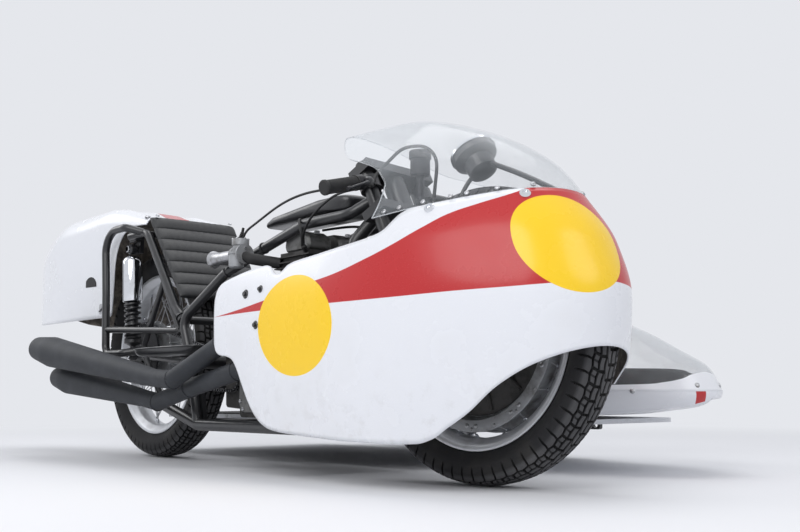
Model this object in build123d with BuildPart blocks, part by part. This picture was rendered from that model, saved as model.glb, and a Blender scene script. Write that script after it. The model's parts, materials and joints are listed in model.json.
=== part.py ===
"""Racing sidecar outfit: a faired solo frame with a streamlined nose, a low platform and a third wheel.

Millimetres.  Sizes are laid out from the ground point under the rear axle: x forward, y left, z up.
The stored frame has its origin under the middle of the outfit; the planes BIKE and FORK carry the
sketches there, FORK being turned about the raked steering axis to the angle at which the bars rest.
"""
import os
from math import cos, radians, sin, tan

from build123d import *

os.makedirs("parts", exist_ok=True)

# ---------------------------------------------------------------- wheels
WHEELBASE = 1435
TYRE_R = 325
TYRE_HALF = 54
RIM_R = 242
RIM_HALF = 38
RIM_DEPTH = 28
RIM_LIP = 10
RIM_EDGE = 5
BEAD_FIT = 0.3
SPOKE_LEAN = 9
SPOKE_R = 2
SPOKES = 40
SIDE_TYRE_R = 290
SIDE_TYRE_HALF = 50
SIDE_RIM_R = 212
SIDE_WHEEL_X = 200
TRACK = 1000
AXLE_R = 10
PIN_FIT = 0.05
SPROCKET_R = 92
SPROCKET_T = 6
SPROCKET_Y = -76
SPROCKET_BORE = 30
GUARD_GAP = 26
GUARD_HALF = 76
GUARD_T = 4

# ---------------------------------------------------------------- steering
RAKE = 27
TRAIL = 60
REST_STEER = 4.9
LEG_Y = 90
LEG_R = 17
LINK_Y = 80
LINK_T = 14
PIVOT_AHEAD = -45
PIVOT_DOWN = -40
HEAD_R = 27
STEM_R = 14
YOKE_LOW = 375
YOKE_TOP = 492
YOKE_T = 24
BAR_R = 11
GRIP_R = 16
GRIP_IN = (1262, 200, 656)
GRIP_END = (1263, 330, 617)

# ---------------------------------------------------------------- frame
RAIL_R = 16
RAIL_Y = 150
RAIL_Z = 113
TOP_RAIL_R = 14
TOP_RAIL_Y = 100
STAY_R = 9
HOOP_R = 12
PIVOT_X = 400
PIVOT_Z = 290
ARM_Y = 100
ARM_R = 16
SHOCK_Y = 150
SHOCK_TOP = (42, 648)
SHOCK_FOOT = (67, 317)
SHOCK_R = 30

# ---------------------------------------------------------------- bodywork
SKIN = 4
SCREEN_T = 3
PANEL_BACK = 780
SEAT_LINE = ((1350, 563), (1690, 606))
SEAM = 1
TAIL_REACH = 860
PAD_T = 16
PAD_HALF = 150
PAD_TOP = (150, 735)
PAD_FOOT = (352, 478)

# ---------------------------------------------------------------- engine and exhaust
CASE_HALF = 125
BARREL_HALF = 92
FIN_T = 3
FIN_PITCH = 14
FIN_OUT = 12
PIPE_R = 24
PIPE_WALL = 2
PIPE_Y = 300
MEGAPHONE_R = 48

# ---------------------------------------------------------------- sidecar
FLOOR_Z = 118
FLOOR_T = 12
FLOOR_IN = 190
FLOOR_OUT = 892
FLOOR_BACK = -330
TUB_Y = 600
TUB_BACK = 1000
SIDE_RAIL_R = 15
SIDE_RAIL_Z = FLOOR_Z - SIDE_RAIL_R

# streamlined nose: level sections, wide_half is the half width at wide_x
NOSE_BACK = 770
NOSE_ROWS = (  # z, back_half, wide_x, wide_half, nose_x, nose_r
    (80, 262, 1250, 268, 1740, 175),
    (250, 280, 1250, 292, 1773, 185),
    (390, 285, 1230, 300, 1787, 190),
    (500, 275, 1230, 286, 1757, 180),
    (600, 225, 1230, 235, 1690, 150),
    (670, 190, 1200, 203, 1632, 125),
    (730, 155, 1150, 165, 1545, 100),
    (785, 105, 1100, 115, 1425, 70),
    (830, 52, 1050, 60, 1275, 38),
    (846, 20, 1000, 25, 1120, 15),
)
FAIRING_ROWS = NOSE_ROWS[:6]
SCREEN_ROWS = NOSE_ROWS[3:]
TUB_ROWS = (
    (FLOOR_Z + FLOOR_T, 235, 1080, 235, 1555, 110),
    (175, 262, 1080, 262, 1618, 135),
    (200, 270, 1080, 270, 1640, 145),
    (255, 262, 1080, 262, 1600, 130),
)
TUB_SCREEN_ROWS = (
    (256, 262, 1080, 262, 1600, 130),
    (310, 238, 1060, 238, 1520, 105),
    (360, 198, 1050, 198, 1415, 80),
    (400, 140, 1040, 140, 1295, 50),
    (425, 70, 1030, 70, 1160, 25),
)
# tail: upright sections across the machine
TAIL_ROWS = (  # x, half, low, top, corner
    (128, 150, 440, 745, 40),
    (-140, 178, 440, 800, 60),
    (-400, 185, 440, 800, 75),
    (-650, 150, 446, 755, 80),
    (-800, 95, 465, 680, 60),
    (-TAIL_REACH, 40, 490, 620, 30),
)

# ---------------------------------------------------------------- planes
NOSE_REACH = max(row[4] for row in NOSE_ROWS)
LEFT_REACH = TRACK + GUARD_HALF
RIGHT_REACH = PIPE_Y + MEGAPHONE_R
BIKE = Plane(origin=((TAIL_REACH - NOSE_REACH) / 2, (RIGHT_REACH - LEFT_REACH) / 2, 0))

# steering axis: leans back by RAKE and meets the ground TRAIL ahead of the front axle
LEAN = radians(RAKE)
AXLE_AHEAD = TYRE_R * sin(LEAN) - TRAIL * cos(LEAN)
AXLE_UP = TYRE_R * cos(LEAN) + TRAIL * sin(LEAN)
HEAD = Plane(
    origin=BIKE.from_local_coords((WHEELBASE + TRAIL - AXLE_UP * sin(LEAN), 0, AXLE_UP * cos(LEAN))),
    x_dir=(cos(LEAN), 0, sin(LEAN)),
    z_dir=(-sin(LEAN), 0, cos(LEAN)),
)
TURN = HEAD.location * Location((0, 0, 0), (0, 0, REST_STEER)) * HEAD.location.inverse()
FORK = Plane(TURN * BIKE.location)
STEER = Plane(TURN * HEAD.location)


# ---------------------------------------------------------------- building steps
def keep(builder, label):
    """Label a finished piece and write its file."""
    builder.part.label = label
    export_step(builder.part, f"parts/{label}.step")


def sided(points, side):
    """A run of points on the right (-1) or the left (+1)."""
    return [(x, side * y, z) for x, y, z in points]


def elevation(frame, y):
    """Side view of a frame at its own y: sketch x forward, sketch y up, normal to the right."""
    return Plane(origin=frame.from_local_coords((0, y, 0)), x_dir=frame.x_dir, z_dir=-frame.y_dir)


def tube(frame, points, radius, bend=40, mode=Mode.ADD):
    """A round bar along straight runs, joined by tangent bends."""
    with BuildLine(frame) as run:
        if len(points) > 2:
            FilletPolyline(*points, radius=bend)
        else:
            Line(*points)
    with BuildSketch(Plane(origin=run.line @ 0, z_dir=run.line % 0)) as ring:
        Circle(radius)
    sweep(sections=ring.sketch, path=run.line, mode=mode)


def cross_bar(frame, x, z, y_from, y_to, radius, mode=Mode.ADD):
    """A round bar or a bore across the machine."""
    with BuildSketch(elevation(frame, y_to)) as ring:
        with Locations((x, z)):
            Circle(radius)
    extrude(to_extrude=ring.sketch, amount=y_to - y_from, mode=mode)


def slab(frame, outline, y_from, y_to, mode=Mode.ADD, corner=0):
    """A side-view outline carried between two widths."""
    with BuildSketch(elevation(frame, y_to)) as face:
        with BuildLine():
            Polyline(*outline, close=True)
        make_face()
        if corner:
            fillet(face.vertices(), radius=corner)
    extrude(to_extrude=face.sketch, amount=y_to - y_from, mode=mode)


def box(frame, low, high, mode=Mode.ADD):
    """A block between two corners."""
    size = [b - a for a, b in zip(low, high)]
    centre = frame.from_local_coords(tuple((a + b) / 2 for a, b in zip(low, high)))
    with Locations(Plane(origin=centre, x_dir=frame.x_dir, z_dir=frame.z_dir)):
        Box(*size, mode=mode)


def turned(frame, x, z, y, outline, mode=Mode.ADD):
    """Turn a half section (radius, width) about the cross axis through x, z at width y."""
    plane = Plane(origin=frame.from_local_coords((x, y, z)), x_dir=frame.z_dir, z_dir=-frame.x_dir)
    with BuildSketch(plane) as section:
        with BuildLine():
            Polyline(*outline, close=True)
        make_face()
    axis = Axis(origin=plane.origin, direction=plane.y_dir)
    revolve(profiles=section.sketch, axis=axis, mode=mode)


def level_section(frame, row, mid_y, back_x, wall=0):
    """Level section of a streamlined nose: flat back, side lines, wide arcs and a nose arc."""
    z, back_half, wide_x, wide_half, nose_x, nose_r = row
    back, half, tip, small = back_half - wall, wide_half - wall, nose_x - wall, nose_r - wall
    run = tip - small - wide_x
    big = (run**2 + half**2 - small**2) / (2 * (half - small))
    meet_x = wide_x + run * big / (big - small)
    meet_y = (big - half) * small / (big - small)
    with BuildSketch(Plane(origin=frame.from_local_coords((0, mid_y, z)))) as level:
        with BuildLine():
            Line((back_x, -back), (wide_x, -half))
            TangentArc((wide_x, -half), (meet_x, -meet_y), tangent=(1, 0))
            ThreePointArc((meet_x, -meet_y), (tip, 0), (meet_x, meet_y))
            TangentArc((wide_x, half), (meet_x, meet_y), tangent=(1, 0))
            Line((wide_x, half), (back_x, back))
            Line((back_x, back), (back_x, -back))
        make_face()
    return level.sketch


def nose_shell(frame, rows, mid_y, back_x, wall, lid=False):
    """Loft level sections and hollow the form; open behind, and above unless it has a lid."""
    loft(sections=[level_section(frame, row, mid_y, back_x) for row in rows])
    inner = [list(row) for row in rows]
    if lid:
        inner[-1][0] -= wall
    loft(
        sections=[level_section(frame, row, mid_y, back_x - 2 * wall, wall) for row in inner],
        mode=Mode.SUBTRACT,
    )


def upright_section(frame, row, wall=0, drop=0):
    """Cross section of the tail: straight sides and a flat top with round corners."""
    x, half, low, top, corner = row
    plane = Plane(origin=frame.from_local_coords((x, 0, 0)), x_dir=frame.y_dir, z_dir=frame.x_dir)
    h = half - wall
    with BuildSketch(plane) as face:
        with BuildLine() as edge:
            Polyline((-h, low - drop), (-h, top - wall), (h, top - wall), (h, low - drop), close=True)
        make_face()
        fillet(face.vertices().group_by(Axis.Y)[-1], radius=corner - wall)
    return face.sketch


def seat_z(x):
    """Height of the screen's seat on the fairing at x."""
    (x0, z0), (x1, z1) = SEAT_LINE
    return z0 + (x - x0) * (z1 - z0) / (x1 - x0)


# ---------------------------------------------------------------- wheels
TYRE_SECTION = (  # share of the way from the rim edge to the tread, share of the half width
    (0.10, 0.72), (0.42, 0.98), (0.62, 1.00), (0.84, 0.84), (0.96, 0.50), (1.0, 0.0),
)


def tyre(label, frame, x, y, outer, rim, half):
    """Solid tyre with a round tread, its beads seated between the rim's two edges."""
    depth = outer - rim
    right = [(rim - RIM_LIP + BEAD_FIT, RIM_HALF - RIM_EDGE - 1), (rim + 1, RIM_HALF - RIM_EDGE)]
    right += [(rim + depth * share, half * wide) for share, wide in TYRE_SECTION]
    left = [(r, -w) for r, w in reversed(right[:-1])]
    with BuildPart() as piece:
        turned(frame, x, outer, y, right + left)
    keep(piece, label)


def wheel(label, frame, x, y, outer, rim, hub):
    """Rim, wire spokes and hub of one wheel, with a bore for its axle."""
    hub_r, flange_r, hub_half, flange_half, drum_r, drum_side = hub
    seat = rim - RIM_LIP
    base = rim - RIM_DEPTH
    well = RIM_HALF - RIM_EDGE - 14
    half_rim = [
        (rim, RIM_HALF), (rim, RIM_HALF - RIM_EDGE + 1), (seat, RIM_HALF - RIM_EDGE),
        (base + 4, well), (base + 4, 0), (base, 0), (base, well + 3), (seat - 4, RIM_HALF),
    ]
    half_hub = [
        (AXLE_R + PIN_FIT, 0), (AXLE_R + PIN_FIT, hub_half), (hub_r, hub_half), (hub_r, flange_half),
        (flange_r, flange_half), (flange_r, flange_half - 5), (hub_r, flange_half - 9), (hub_r, 0),
    ]
    centre = Vector(x, y, outer)
    spokes = []
    for number in range(SPOKES):
        side = 1 if number % 2 else -1
        at = radians(number * 360 / SPOKES)
        lean = at + side * radians(SPOKE_LEAN)
        near = Vector((flange_r - 5) * sin(at), side * (flange_half - 3), (flange_r - 5) * cos(at))
        far = Vector((base + 2) * sin(lean), side * 4, (base + 2) * cos(lean))
        start = frame.from_local_coords(centre + near)
        end = frame.from_local_coords(centre + far)
        spokes.append((Plane(origin=start, z_dir=end - start), (end - start).length))
    with BuildPart() as piece:
        for way in (-1, 1):
            turned(frame, x, outer, y, [(r, way * w) for r, w in half_rim])
            turned(frame, x, outer, y, [(r, way * w) for r, w in half_hub])
        if drum_r:
            ends = (drum_side * (flange_half - 7), drum_side * (hub_half - 2))
            turned(frame, x, outer, y, [
                (hub_r - 3, ends[0]), (drum_r, ends[0]), (drum_r, ends[1]), (hub_r - 3, ends[1]),
            ])
        with Locations(*[plane for plane, length in spokes]):
            Cylinder(SPOKE_R, spokes[0][1], align=(Align.CENTER, Align.CENTER, Align.MIN))
    keep(piece, label)


WHEELS = (  # name, frame, x, y, tyre_r, rim_r, tyre_half, hub_r, flange_r, hub_half, flange_half, drum_r, side
    ("front", FORK, WHEELBASE, 0, TYRE_R, RIM_R, TYRE_HALF, (60, 140, 62, 40, 128, -1)),
    ("rear", BIKE, 0, 0, TYRE_R, RIM_R, TYRE_HALF, (55, 105, 70, 42, 95, 1)),
    ("sidecar", BIKE, SIDE_WHEEL_X, TRACK, SIDE_TYRE_R, SIDE_RIM_R, SIDE_TYRE_HALF,
     (40, 80, 52, 36, 0, 1)),
)
for name, frame, x, y, outer, rim, half, hub in WHEELS:
    tyre(f"{name}_tyre", frame, x, y, outer, rim, half)
    wheel(f"{name}_rim", frame, x, y, outer, rim, hub)

with BuildPart() as rear_sprocket:
    with BuildSketch(elevation(BIKE, SPROCKET_Y + SPROCKET_T / 2)) as face:
        with Locations((0, TYRE_R)):
            RegularPolygon(SPROCKET_R, 48)
            Circle(SPROCKET_BORE, mode=Mode.SUBTRACT)
    extrude(amount=SPROCKET_T)
keep(rear_sprocket, "rear_sprocket")

# ---------------------------------------------------------------- frame
HEAD_LOW = (0, 0, YOKE_LOW + YOKE_T / 2 + 2)
HEAD_HIGH = (0, 0, YOKE_TOP - YOKE_T / 2 - 2)
RAIL_RUNS = (  # radius, right-hand run: the left-hand run is its mirror image
    (RAIL_R, ((280, 150, 165), (475, 150, 113), (960, 150, 113), (1050, 95, 200), (1082, 78, 560),
              (1136, 30, 645))),
    (TOP_RAIL_R, ((1132, 30, 676), (1071, 85, 628), (905, 100, 624), (707, 100, 579), (560, 125, 525),
                  (376, 150, 408), (425, 150, 300), (475, 150, 113))),
    (RAIL_R - 3, ((376, 150, 408), (334, 150, 446), (146, 150, 688), (30, 150, 690))),
    (STAY_R, ((208, 150, 604), (362, 150, 370))),
    (STAY_R, ((280, 150, 165), (133, 150, 330), (266, 150, 545))),
)
for name, side in (("right_frame", -1), ("left_frame", 1)):
    with BuildPart() as piece:
        for radius, run in RAIL_RUNS:
            tube(BIKE, sided(run, side), radius)
        ends = sorted((side * (ARM_Y + 28), side * (ARM_Y + 40)))
        slab(BIKE, ((370, 330), (440, 330), (490, 120), (455, 105), (375, 260)), *ends)
        slab(BIKE, ((20, 636), (64, 636), (64, 700), (20, 700)), *sorted((side * 122, side * 134)))
        slab(BIKE, ((20, 672), (64, 672), (64, 700), (20, 700)), *sorted((side * 130, side * 150)))
        cross_bar(BIKE, *SHOCK_TOP, *sorted((side * 128, side * (SHOCK_Y + 18))), 8)
    keep(piece, name)

CROSS_BARS = ((475, RAIL_Z, RAIL_R - 3), (960, RAIL_Z, RAIL_R - 3), (144, 684, RAIL_R - 5),
              (376, 408, RAIL_R - 4), (PIVOT_X, PIVOT_Z, AXLE_R))
with BuildPart(BIKE) as main_frame:
    for x, z, radius in CROSS_BARS:
        cross_bar(BIKE, x, z, -RAIL_Y, RAIL_Y, radius)
    with BuildSketch(HEAD.offset(HEAD_LOW[2])) as ring:
        Circle(HEAD_R)
    extrude(to_extrude=ring.sketch, amount=HEAD_HIGH[2] - HEAD_LOW[2])
    with BuildSketch(HEAD.offset(HEAD_LOW[2])) as ring:
        Circle(STEM_R + PIN_FIT)
    extrude(to_extrude=ring.sketch, amount=HEAD_HIGH[2] - HEAD_LOW[2], mode=Mode.SUBTRACT)
keep(main_frame, "main_frame")

# a guard hoop on the right, for the passenger leaning out behind the rider
HOOP_RUN = ((122, -150, 692), (84, -196, 710), (-8, -202, 704), (-40, -202, 660), (-25, -202, 520),
            (-14, -202, 322), (100, -202, 320), (133, -150, 330))
with BuildPart() as passenger_hoop:
    tube(BIKE, HOOP_RUN, HOOP_R, bend=26)
    tube(BIKE, ((-22, -202, 397), (362, -150, 378)), HOOP_R - 2)
keep(passenger_hoop, "passenger_hoop")

# ---------------------------------------------------------------- rear suspension
HUB_HALF_REAR = 70
with BuildPart() as swingarm:
    cross_bar(BIKE, PIVOT_X, PIVOT_Z, -ARM_Y - 22, ARM_Y + 22, 22)
    for side in (-1, 1):
        tube(BIKE, sided(((PIVOT_X, ARM_Y, PIVOT_Z), (0, ARM_Y, TYRE_R)), side), ARM_R)
        ends = sorted((side * (ARM_Y - 8), side * (ARM_Y + 8)))
        slab(BIKE, ((-34, TYRE_R - 22), (60, TYRE_R - 24), (60, TYRE_R + 18), (-34, TYRE_R + 22)), *ends,
             corner=8)
        cross_bar(BIKE, *SHOCK_FOOT, *sorted((side * (ARM_Y + 12), side * (SHOCK_Y + 18))), 8)
    cross_bar(BIKE, PIVOT_X, PIVOT_Z, -ARM_Y - 30, ARM_Y + 30, AXLE_R + PIN_FIT, mode=Mode.SUBTRACT)
    cross_bar(BIKE, 0, TYRE_R, -ARM_Y - 30, ARM_Y + 30, AXLE_R + PIN_FIT, mode=Mode.SUBTRACT)
keep(swingarm, "swingarm")

NUT_R = 17
NUT_T = 12
with BuildPart() as rear_axle:
    cross_bar(BIKE, 0, TYRE_R, -ARM_Y - 34, ARM_Y + 34, AXLE_R)
    for side in (-1, 1):
        cross_bar(BIKE, 0, TYRE_R, *sorted((side * (ARM_Y + 17), side * (ARM_Y + 17 + NUT_T))), NUT_R)
keep(rear_axle, "rear_axle")


def damper(frame, foot, top, y, stud_r, spring_r, cover_r, cover_from):
    """A sprung damper between two studs: eyes, spring stretch and upper cover."""
    low = frame.from_local_coords((foot[0], y, foot[1]))
    high = frame.from_local_coords((top[0], y, top[1]))
    way = (high - low).normalized()
    length = (high - low).length
    for share_a, share_b, radius in ((0.03, 0.97, spring_r * 0.4), (0.10, cover_from, spring_r),
                                     (cover_from, 0.93, cover_r)):
        with BuildSketch(Plane(origin=low + way * length * share_a, z_dir=way)) as ring:
            Circle(radius)
        extrude(to_extrude=ring.sketch, amount=length * (share_b - share_a))
    for x, z in (foot, top):
        cross_bar(frame, x, z, y - 11, y + 11, stud_r + 8)
        cross_bar(frame, x, z, y - 12, y + 12, stud_r + PIN_FIT, mode=Mode.SUBTRACT)


with BuildPart() as rear_shocks:
    for side in (-1, 1):
        damper(BIKE, SHOCK_FOOT, SHOCK_TOP, side * SHOCK_Y, 8, 24, SHOCK_R, 0.5)
keep(rear_shocks, "rear_shocks")

# ---------------------------------------------------------------- engine, gearbox, chain
BOX_SPROCKET = (525, 250)
BOX_SPROCKET_R = 40
CHAIN_LIFT = 9
with BuildPart() as engine_block:
    slab(BIKE, ((650, 135), (945, 135), (965, 200), (955, 335), (690, 335), (650, 290)),
         -CASE_HALF, CASE_HALF, corner=12)
keep(engine_block, "engine_block")

with BuildPart() as cylinder_block:
    box(BIKE, (785, -BARREL_HALF, 335.5), (915, BARREL_HALF, 560))
    fin_z = 350
    while fin_z < 550:
        box(BIKE, (785 - FIN_OUT, -BARREL_HALF - FIN_OUT, fin_z),
            (915 + FIN_OUT, BARREL_HALF + FIN_OUT, fin_z + FIN_T))
        fin_z += FIN_PITCH
keep(cylinder_block, "cylinder_block")

with BuildPart() as gearbox:
    slab(BIKE, ((475, 160), (645, 150), (645, 330), (500, 330), (470, 300)), -62, 105, corner=12)
    cross_bar(BIKE, *BOX_SPROCKET, SPROCKET_Y - SPROCKET_T / 2, -60, 14)
    cross_bar(BIKE, *BOX_SPROCKET, SPROCKET_Y - SPROCKET_T / 2, SPROCKET_Y + SPROCKET_T / 2,
              BOX_SPROCKET_R)
keep(gearbox, "gearbox")

with BuildPart() as drive_chain:
    with BuildSketch(elevation(BIKE, SPROCKET_Y + SPROCKET_T / 2 + 2)) as loop:
        for lift, mode in ((CHAIN_LIFT, Mode.ADD), (0.4, Mode.SUBTRACT)):
            with BuildSketch(elevation(BIKE, SPROCKET_Y + SPROCKET_T / 2 + 2), mode=Mode.PRIVATE) as disc:
                with Locations((0, TYRE_R)):
                    Circle(SPROCKET_R + lift)
                with Locations(BOX_SPROCKET):
                    Circle(BOX_SPROCKET_R + lift)
            add(make_hull(disc.sketch_local.edges(), mode=Mode.PRIVATE), mode=mode)
    extrude(amount=SPROCKET_T + 4)
keep(drive_chain, "drive_chain")

CARB_Y = 160
with BuildPart() as carburettors:
    for side in (-1, 1):
        y = side * CARB_Y
        box(BIKE, (668, y - 26, 548), (724, y + 26, 600))
        cross_bar(BIKE, 696, 574, y - 34, y + 34, 20)
        tube(BIKE, ((560, y, 562), (690, y, 562)), 24)
        tube(BIKE, sided(((700, CARB_Y, 556), (742, CARB_Y - 10, 550), (786, BARREL_HALF, 535)), side), 17,
             bend=30)
keep(carburettors, "carburettors")

# ---------------------------------------------------------------- exhausts
def exhaust(label, run, tail, mega):
    """One pipe: round pipe along its run, then a cone that opens to the rear and closes a little."""
    with BuildPart() as piece:
        tube(BIKE, run, PIPE_R, bend=45)
        start = BIKE.from_local_coords(run[-1])
        end = BIKE.from_local_coords(tail)
        way = (end - start).normalized()
        length = (end - start).length
        sections = []
        for share, radius in mega:
            with BuildSketch(Plane(origin=start + way * length * share, z_dir=way)) as ring:
                Circle(radius)
            sections.append(ring.sketch)
        for first, second in zip(sections, sections[1:]):
            loft(sections=[first, second])
        with BuildSketch(Plane(origin=end, z_dir=-way)) as mouth:
            Circle(mega[-1][1] - 3)
        extrude(to_extrude=mouth.sketch, amount=140, mode=Mode.SUBTRACT)
    keep(piece, label)


exhaust("exhaust_upper",
        ((929, -50, 500), (985, -50, 500), (992, -190, 430), (900, -228, 368), (752, -250, 318),
         (600, -PIPE_Y, 233), (500, -PIPE_Y, 240)),
        (-293, -PIPE_Y, 345),
        ((0, PIPE_R), (0.05, PIPE_R + 2), (0.86, MEGAPHONE_R), (1, 38)))
exhaust("exhaust_lower",
        ((929, 50, 500), (985, 50, 500), (1000, -70, 385), (985, -200, 300), (820, -242, 252),
         (587, -240, 212), (411, -240, 175), (320, -240, 187)),
        (-269, -240, 252),
        ((0, PIPE_R), (0.05, PIPE_R + 2), (0.86, 44), (1, 34)))

# ---------------------------------------------------------------- tank, pad, trays
with BuildPart() as fuel_tank:
    slab(BIKE, ((640, 645), (1035, 645), (1045, 690), (940, 690), (690, 668)), -84, 84, corner=10)
keep(fuel_tank, "fuel_tank")

with BuildPart() as back_pad:
    run = Vector(PAD_FOOT[0] - PAD_TOP[0], PAD_FOOT[1] - PAD_TOP[1]).normalized()
    deep = Vector(run.Y, -run.X) * PAD_T
    slab(BIKE, (PAD_TOP, PAD_FOOT, (PAD_FOOT[0] + deep.X, PAD_FOOT[1] + deep.Y),
                (PAD_TOP[0] + deep.X, PAD_TOP[1] + deep.Y)), -PAD_HALF, PAD_HALF, corner=6)
keep(back_pad, "back_pad")

TRAY = ((250, 172, 300), (600, 262, 326))
with BuildPart() as knee_trays:
    for side in (-1, 1):
        (x0, y0, z0), (x1, y1, z1) = TRAY
        ya, yb = sorted((side * y0, side * y1))
        box(BIKE, (x0, ya, z0), (x1, yb, z1))
        box(BIKE, (x0 + 8, ya + 8, z0 + 6), (x1 - 8, yb - 8, z1 + 1), mode=Mode.SUBTRACT)
        for x in (385, 440):
            cross_bar(BIKE, x, z0 + 6, *sorted((side * 145, side * (y0 + 4))), 6)
keep(knee_trays, "knee_trays")

# ---------------------------------------------------------------- fairing and screen
FAIRING_SIDE = (
    (780, 304), (800, 289), (850, 285), (878, 268), (908, 215), (940, 158), (975, 128), (1012, 115),
    (1162, 103), (1495, 95), (1545, 127), (1590, 158), (1642, 206), (1690, 240), (1730, 262), (1800, 296),
    (1800, seat_z(1800)), (1430, seat_z(1430)), (1409, 531), (1343, 514), (1117, 490), (1082, 470),
    (1046, 469), (1008, 494), (906, 487), (805, 468), (780, 450),
)
LEFT_LOW_Z = 300
with BuildPart() as front_fairing:
    nose_shell(BIKE, FAIRING_ROWS, 0, NOSE_BACK, SKIN)
    slab(BIKE, FAIRING_SIDE, -400, 400, mode=Mode.INTERSECT)
    box(BIKE, (700, 100, 0), (1620, 400, LEFT_LOW_Z), mode=Mode.SUBTRACT)
keep(front_fairing, "front_fairing")

SCREEN_SIDE = (
    (1350, seat_z(1350) + SEAM), (1350, 650), (1290, 692), (1166, 738), (1090, 784), (1010, 870),
    (1800, 870), (1800, seat_z(1800) + SEAM),
)
with BuildPart() as windscreen:
    nose_shell(BIKE, SCREEN_ROWS, 0, NOSE_BACK, SCREEN_T, lid=True)
    slab(BIKE, SCREEN_SIDE, -400, 400, mode=Mode.INTERSECT)
keep(windscreen, "windscreen")

with BuildPart() as fairing_stays:
    for side in (-1, 1):
        tube(BIKE, sided(((1074, 84, 470), (1100, 280, 470)), side), STAY_R)
    tube(BIKE, ((1030, -110, 180), (1040, -276, 300)), STAY_R)
keep(fairing_stays, "fairing_stays")

DIAL = Plane(origin=BIKE.from_local_coords((1440, -20, 712)), x_dir=(0, 1, 0),
             z_dir=(-sin(radians(35)), 0, cos(radians(35))))
with BuildPart() as rev_counter:
    for offset, length, radius in ((-4, 22, 50), (-45, 42, 34)):
        with BuildSketch(DIAL.offset(offset)) as ring:
            Circle(radius)
        extrude(to_extrude=ring.sketch, amount=length)
    tube(BIKE, ((1468, -20, 700), (1670, -20, 604)), 6)
keep(rev_counter, "rev_counter")

# ---------------------------------------------------------------- tail
TAIL_OPEN_X = -42
TAIL_DECK_Z = 718
with BuildPart() as tail_fairing:
    loft(sections=[upright_section(BIKE, row) for row in TAIL_ROWS])
    inner = [list(row) for row in TAIL_ROWS]
    inner[0][0] += 2 * SKIN
    inner[-1][0] += SKIN
    loft(sections=[upright_section(BIKE, row, SKIN, 60) for row in inner], mode=Mode.SUBTRACT)
    slab(BIKE, ((TAIL_OPEN_X, 400), (200, 400), (200, TAIL_DECK_Z), (60, TAIL_DECK_Z), (10, 700),
                (-25, 655), (TAIL_OPEN_X, 600)), -250, 250, mode=Mode.SUBTRACT)
keep(tail_fairing, "tail_fairing")

# ---------------------------------------------------------------- steering
DAMPER_TOP = 240
DAMPER_FOOT = (62, 14)
DAMPER_Y = 92
with BuildPart() as fork:
    with BuildSketch(STEER.offset(YOKE_LOW - YOKE_T / 2)) as ring:
        Circle(STEM_R)
    extrude(to_extrude=ring.sketch, amount=YOKE_TOP - YOKE_LOW + YOKE_T + 14)
    for s in (YOKE_LOW, YOKE_TOP):
        box(STEER, (-34, -LEG_Y - LEG_R - 4, s - YOKE_T / 2), (34, LEG_Y + LEG_R + 4, s + YOKE_T / 2))
    for side in (-1, 1):
        tube(STEER, sided(((0, LEG_Y, YOKE_TOP + 20), (0, LEG_Y, 60), (PIVOT_AHEAD, LEG_Y, PIVOT_DOWN)),
                          side), LEG_R, bend=60)
        cross_bar(STEER, PIVOT_AHEAD, PIVOT_DOWN, *sorted((side * 65, side * (LEG_Y + LEG_R + 5))), 8)
        low_y, high_y = sorted((side * 78, side * 106))
        box(STEER, (8, low_y, DAMPER_TOP), (76, high_y, DAMPER_TOP + 12))
keep(fork, "fork")

LINK_IN = 65.5
LINK_OUT = 72.5
with BuildPart() as fork_links:
    for side in (-1, 1):
        ends = sorted((side * LINK_IN, side * LINK_OUT))
        slab(STEER, ((PIVOT_AHEAD - 18, PIVOT_DOWN - 14), (PIVOT_AHEAD + 10, PIVOT_DOWN - 20),
                     (AXLE_AHEAD + 22, -20), (AXLE_AHEAD + 22, 18), (70, 30), (40, 26),
                     (PIVOT_AHEAD - 18, PIVOT_DOWN + 16)), *ends, corner=8)
        cross_bar(STEER, *DAMPER_FOOT, *sorted((side * (LINK_OUT - 3), side * (DAMPER_Y + 14))), 7)
    for side in (-1, 1):
        ends = sorted((side * 60, side * 80))
        cross_bar(STEER, PIVOT_AHEAD, PIVOT_DOWN, *ends, 8 + PIN_FIT, mode=Mode.SUBTRACT)
        cross_bar(STEER, AXLE_AHEAD, 0, *ends, AXLE_R + PIN_FIT, mode=Mode.SUBTRACT)
keep(fork_links, "fork_links")

with BuildPart() as front_axle:
    cross_bar(STEER, AXLE_AHEAD, 0, -LINK_OUT - 16, LINK_OUT + 16, AXLE_R)
    for side in (-1, 1):
        cross_bar(STEER, AXLE_AHEAD, 0, *sorted((side * (LINK_OUT + 0.5), side * (LINK_OUT + NUT_T))), NUT_R)
keep(front_axle, "front_axle")

with BuildPart() as fork_dampers:
    for side in (-1, 1):
        y = side * DAMPER_Y
        for low, high, radius in ((30, 120, 14), (90, DAMPER_TOP, 17)):
            with BuildSketch(Plane(origin=STEER.from_local_coords((DAMPER_FOOT[0] - 4, y, low)),
                                   z_dir=STEER.z_dir)) as ring:
                Circle(radius)
            extrude(to_extrude=ring.sketch, amount=high - low)
        cross_bar(STEER, *DAMPER_FOOT, *sorted((side * (LINK_OUT + 1), side * (DAMPER_Y + 12))), 17)
        cross_bar(STEER, *DAMPER_FOOT, y - 30, y + 30, 7 + PIN_FIT, mode=Mode.SUBTRACT)
keep(fork_dampers, "fork_dampers")

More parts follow.
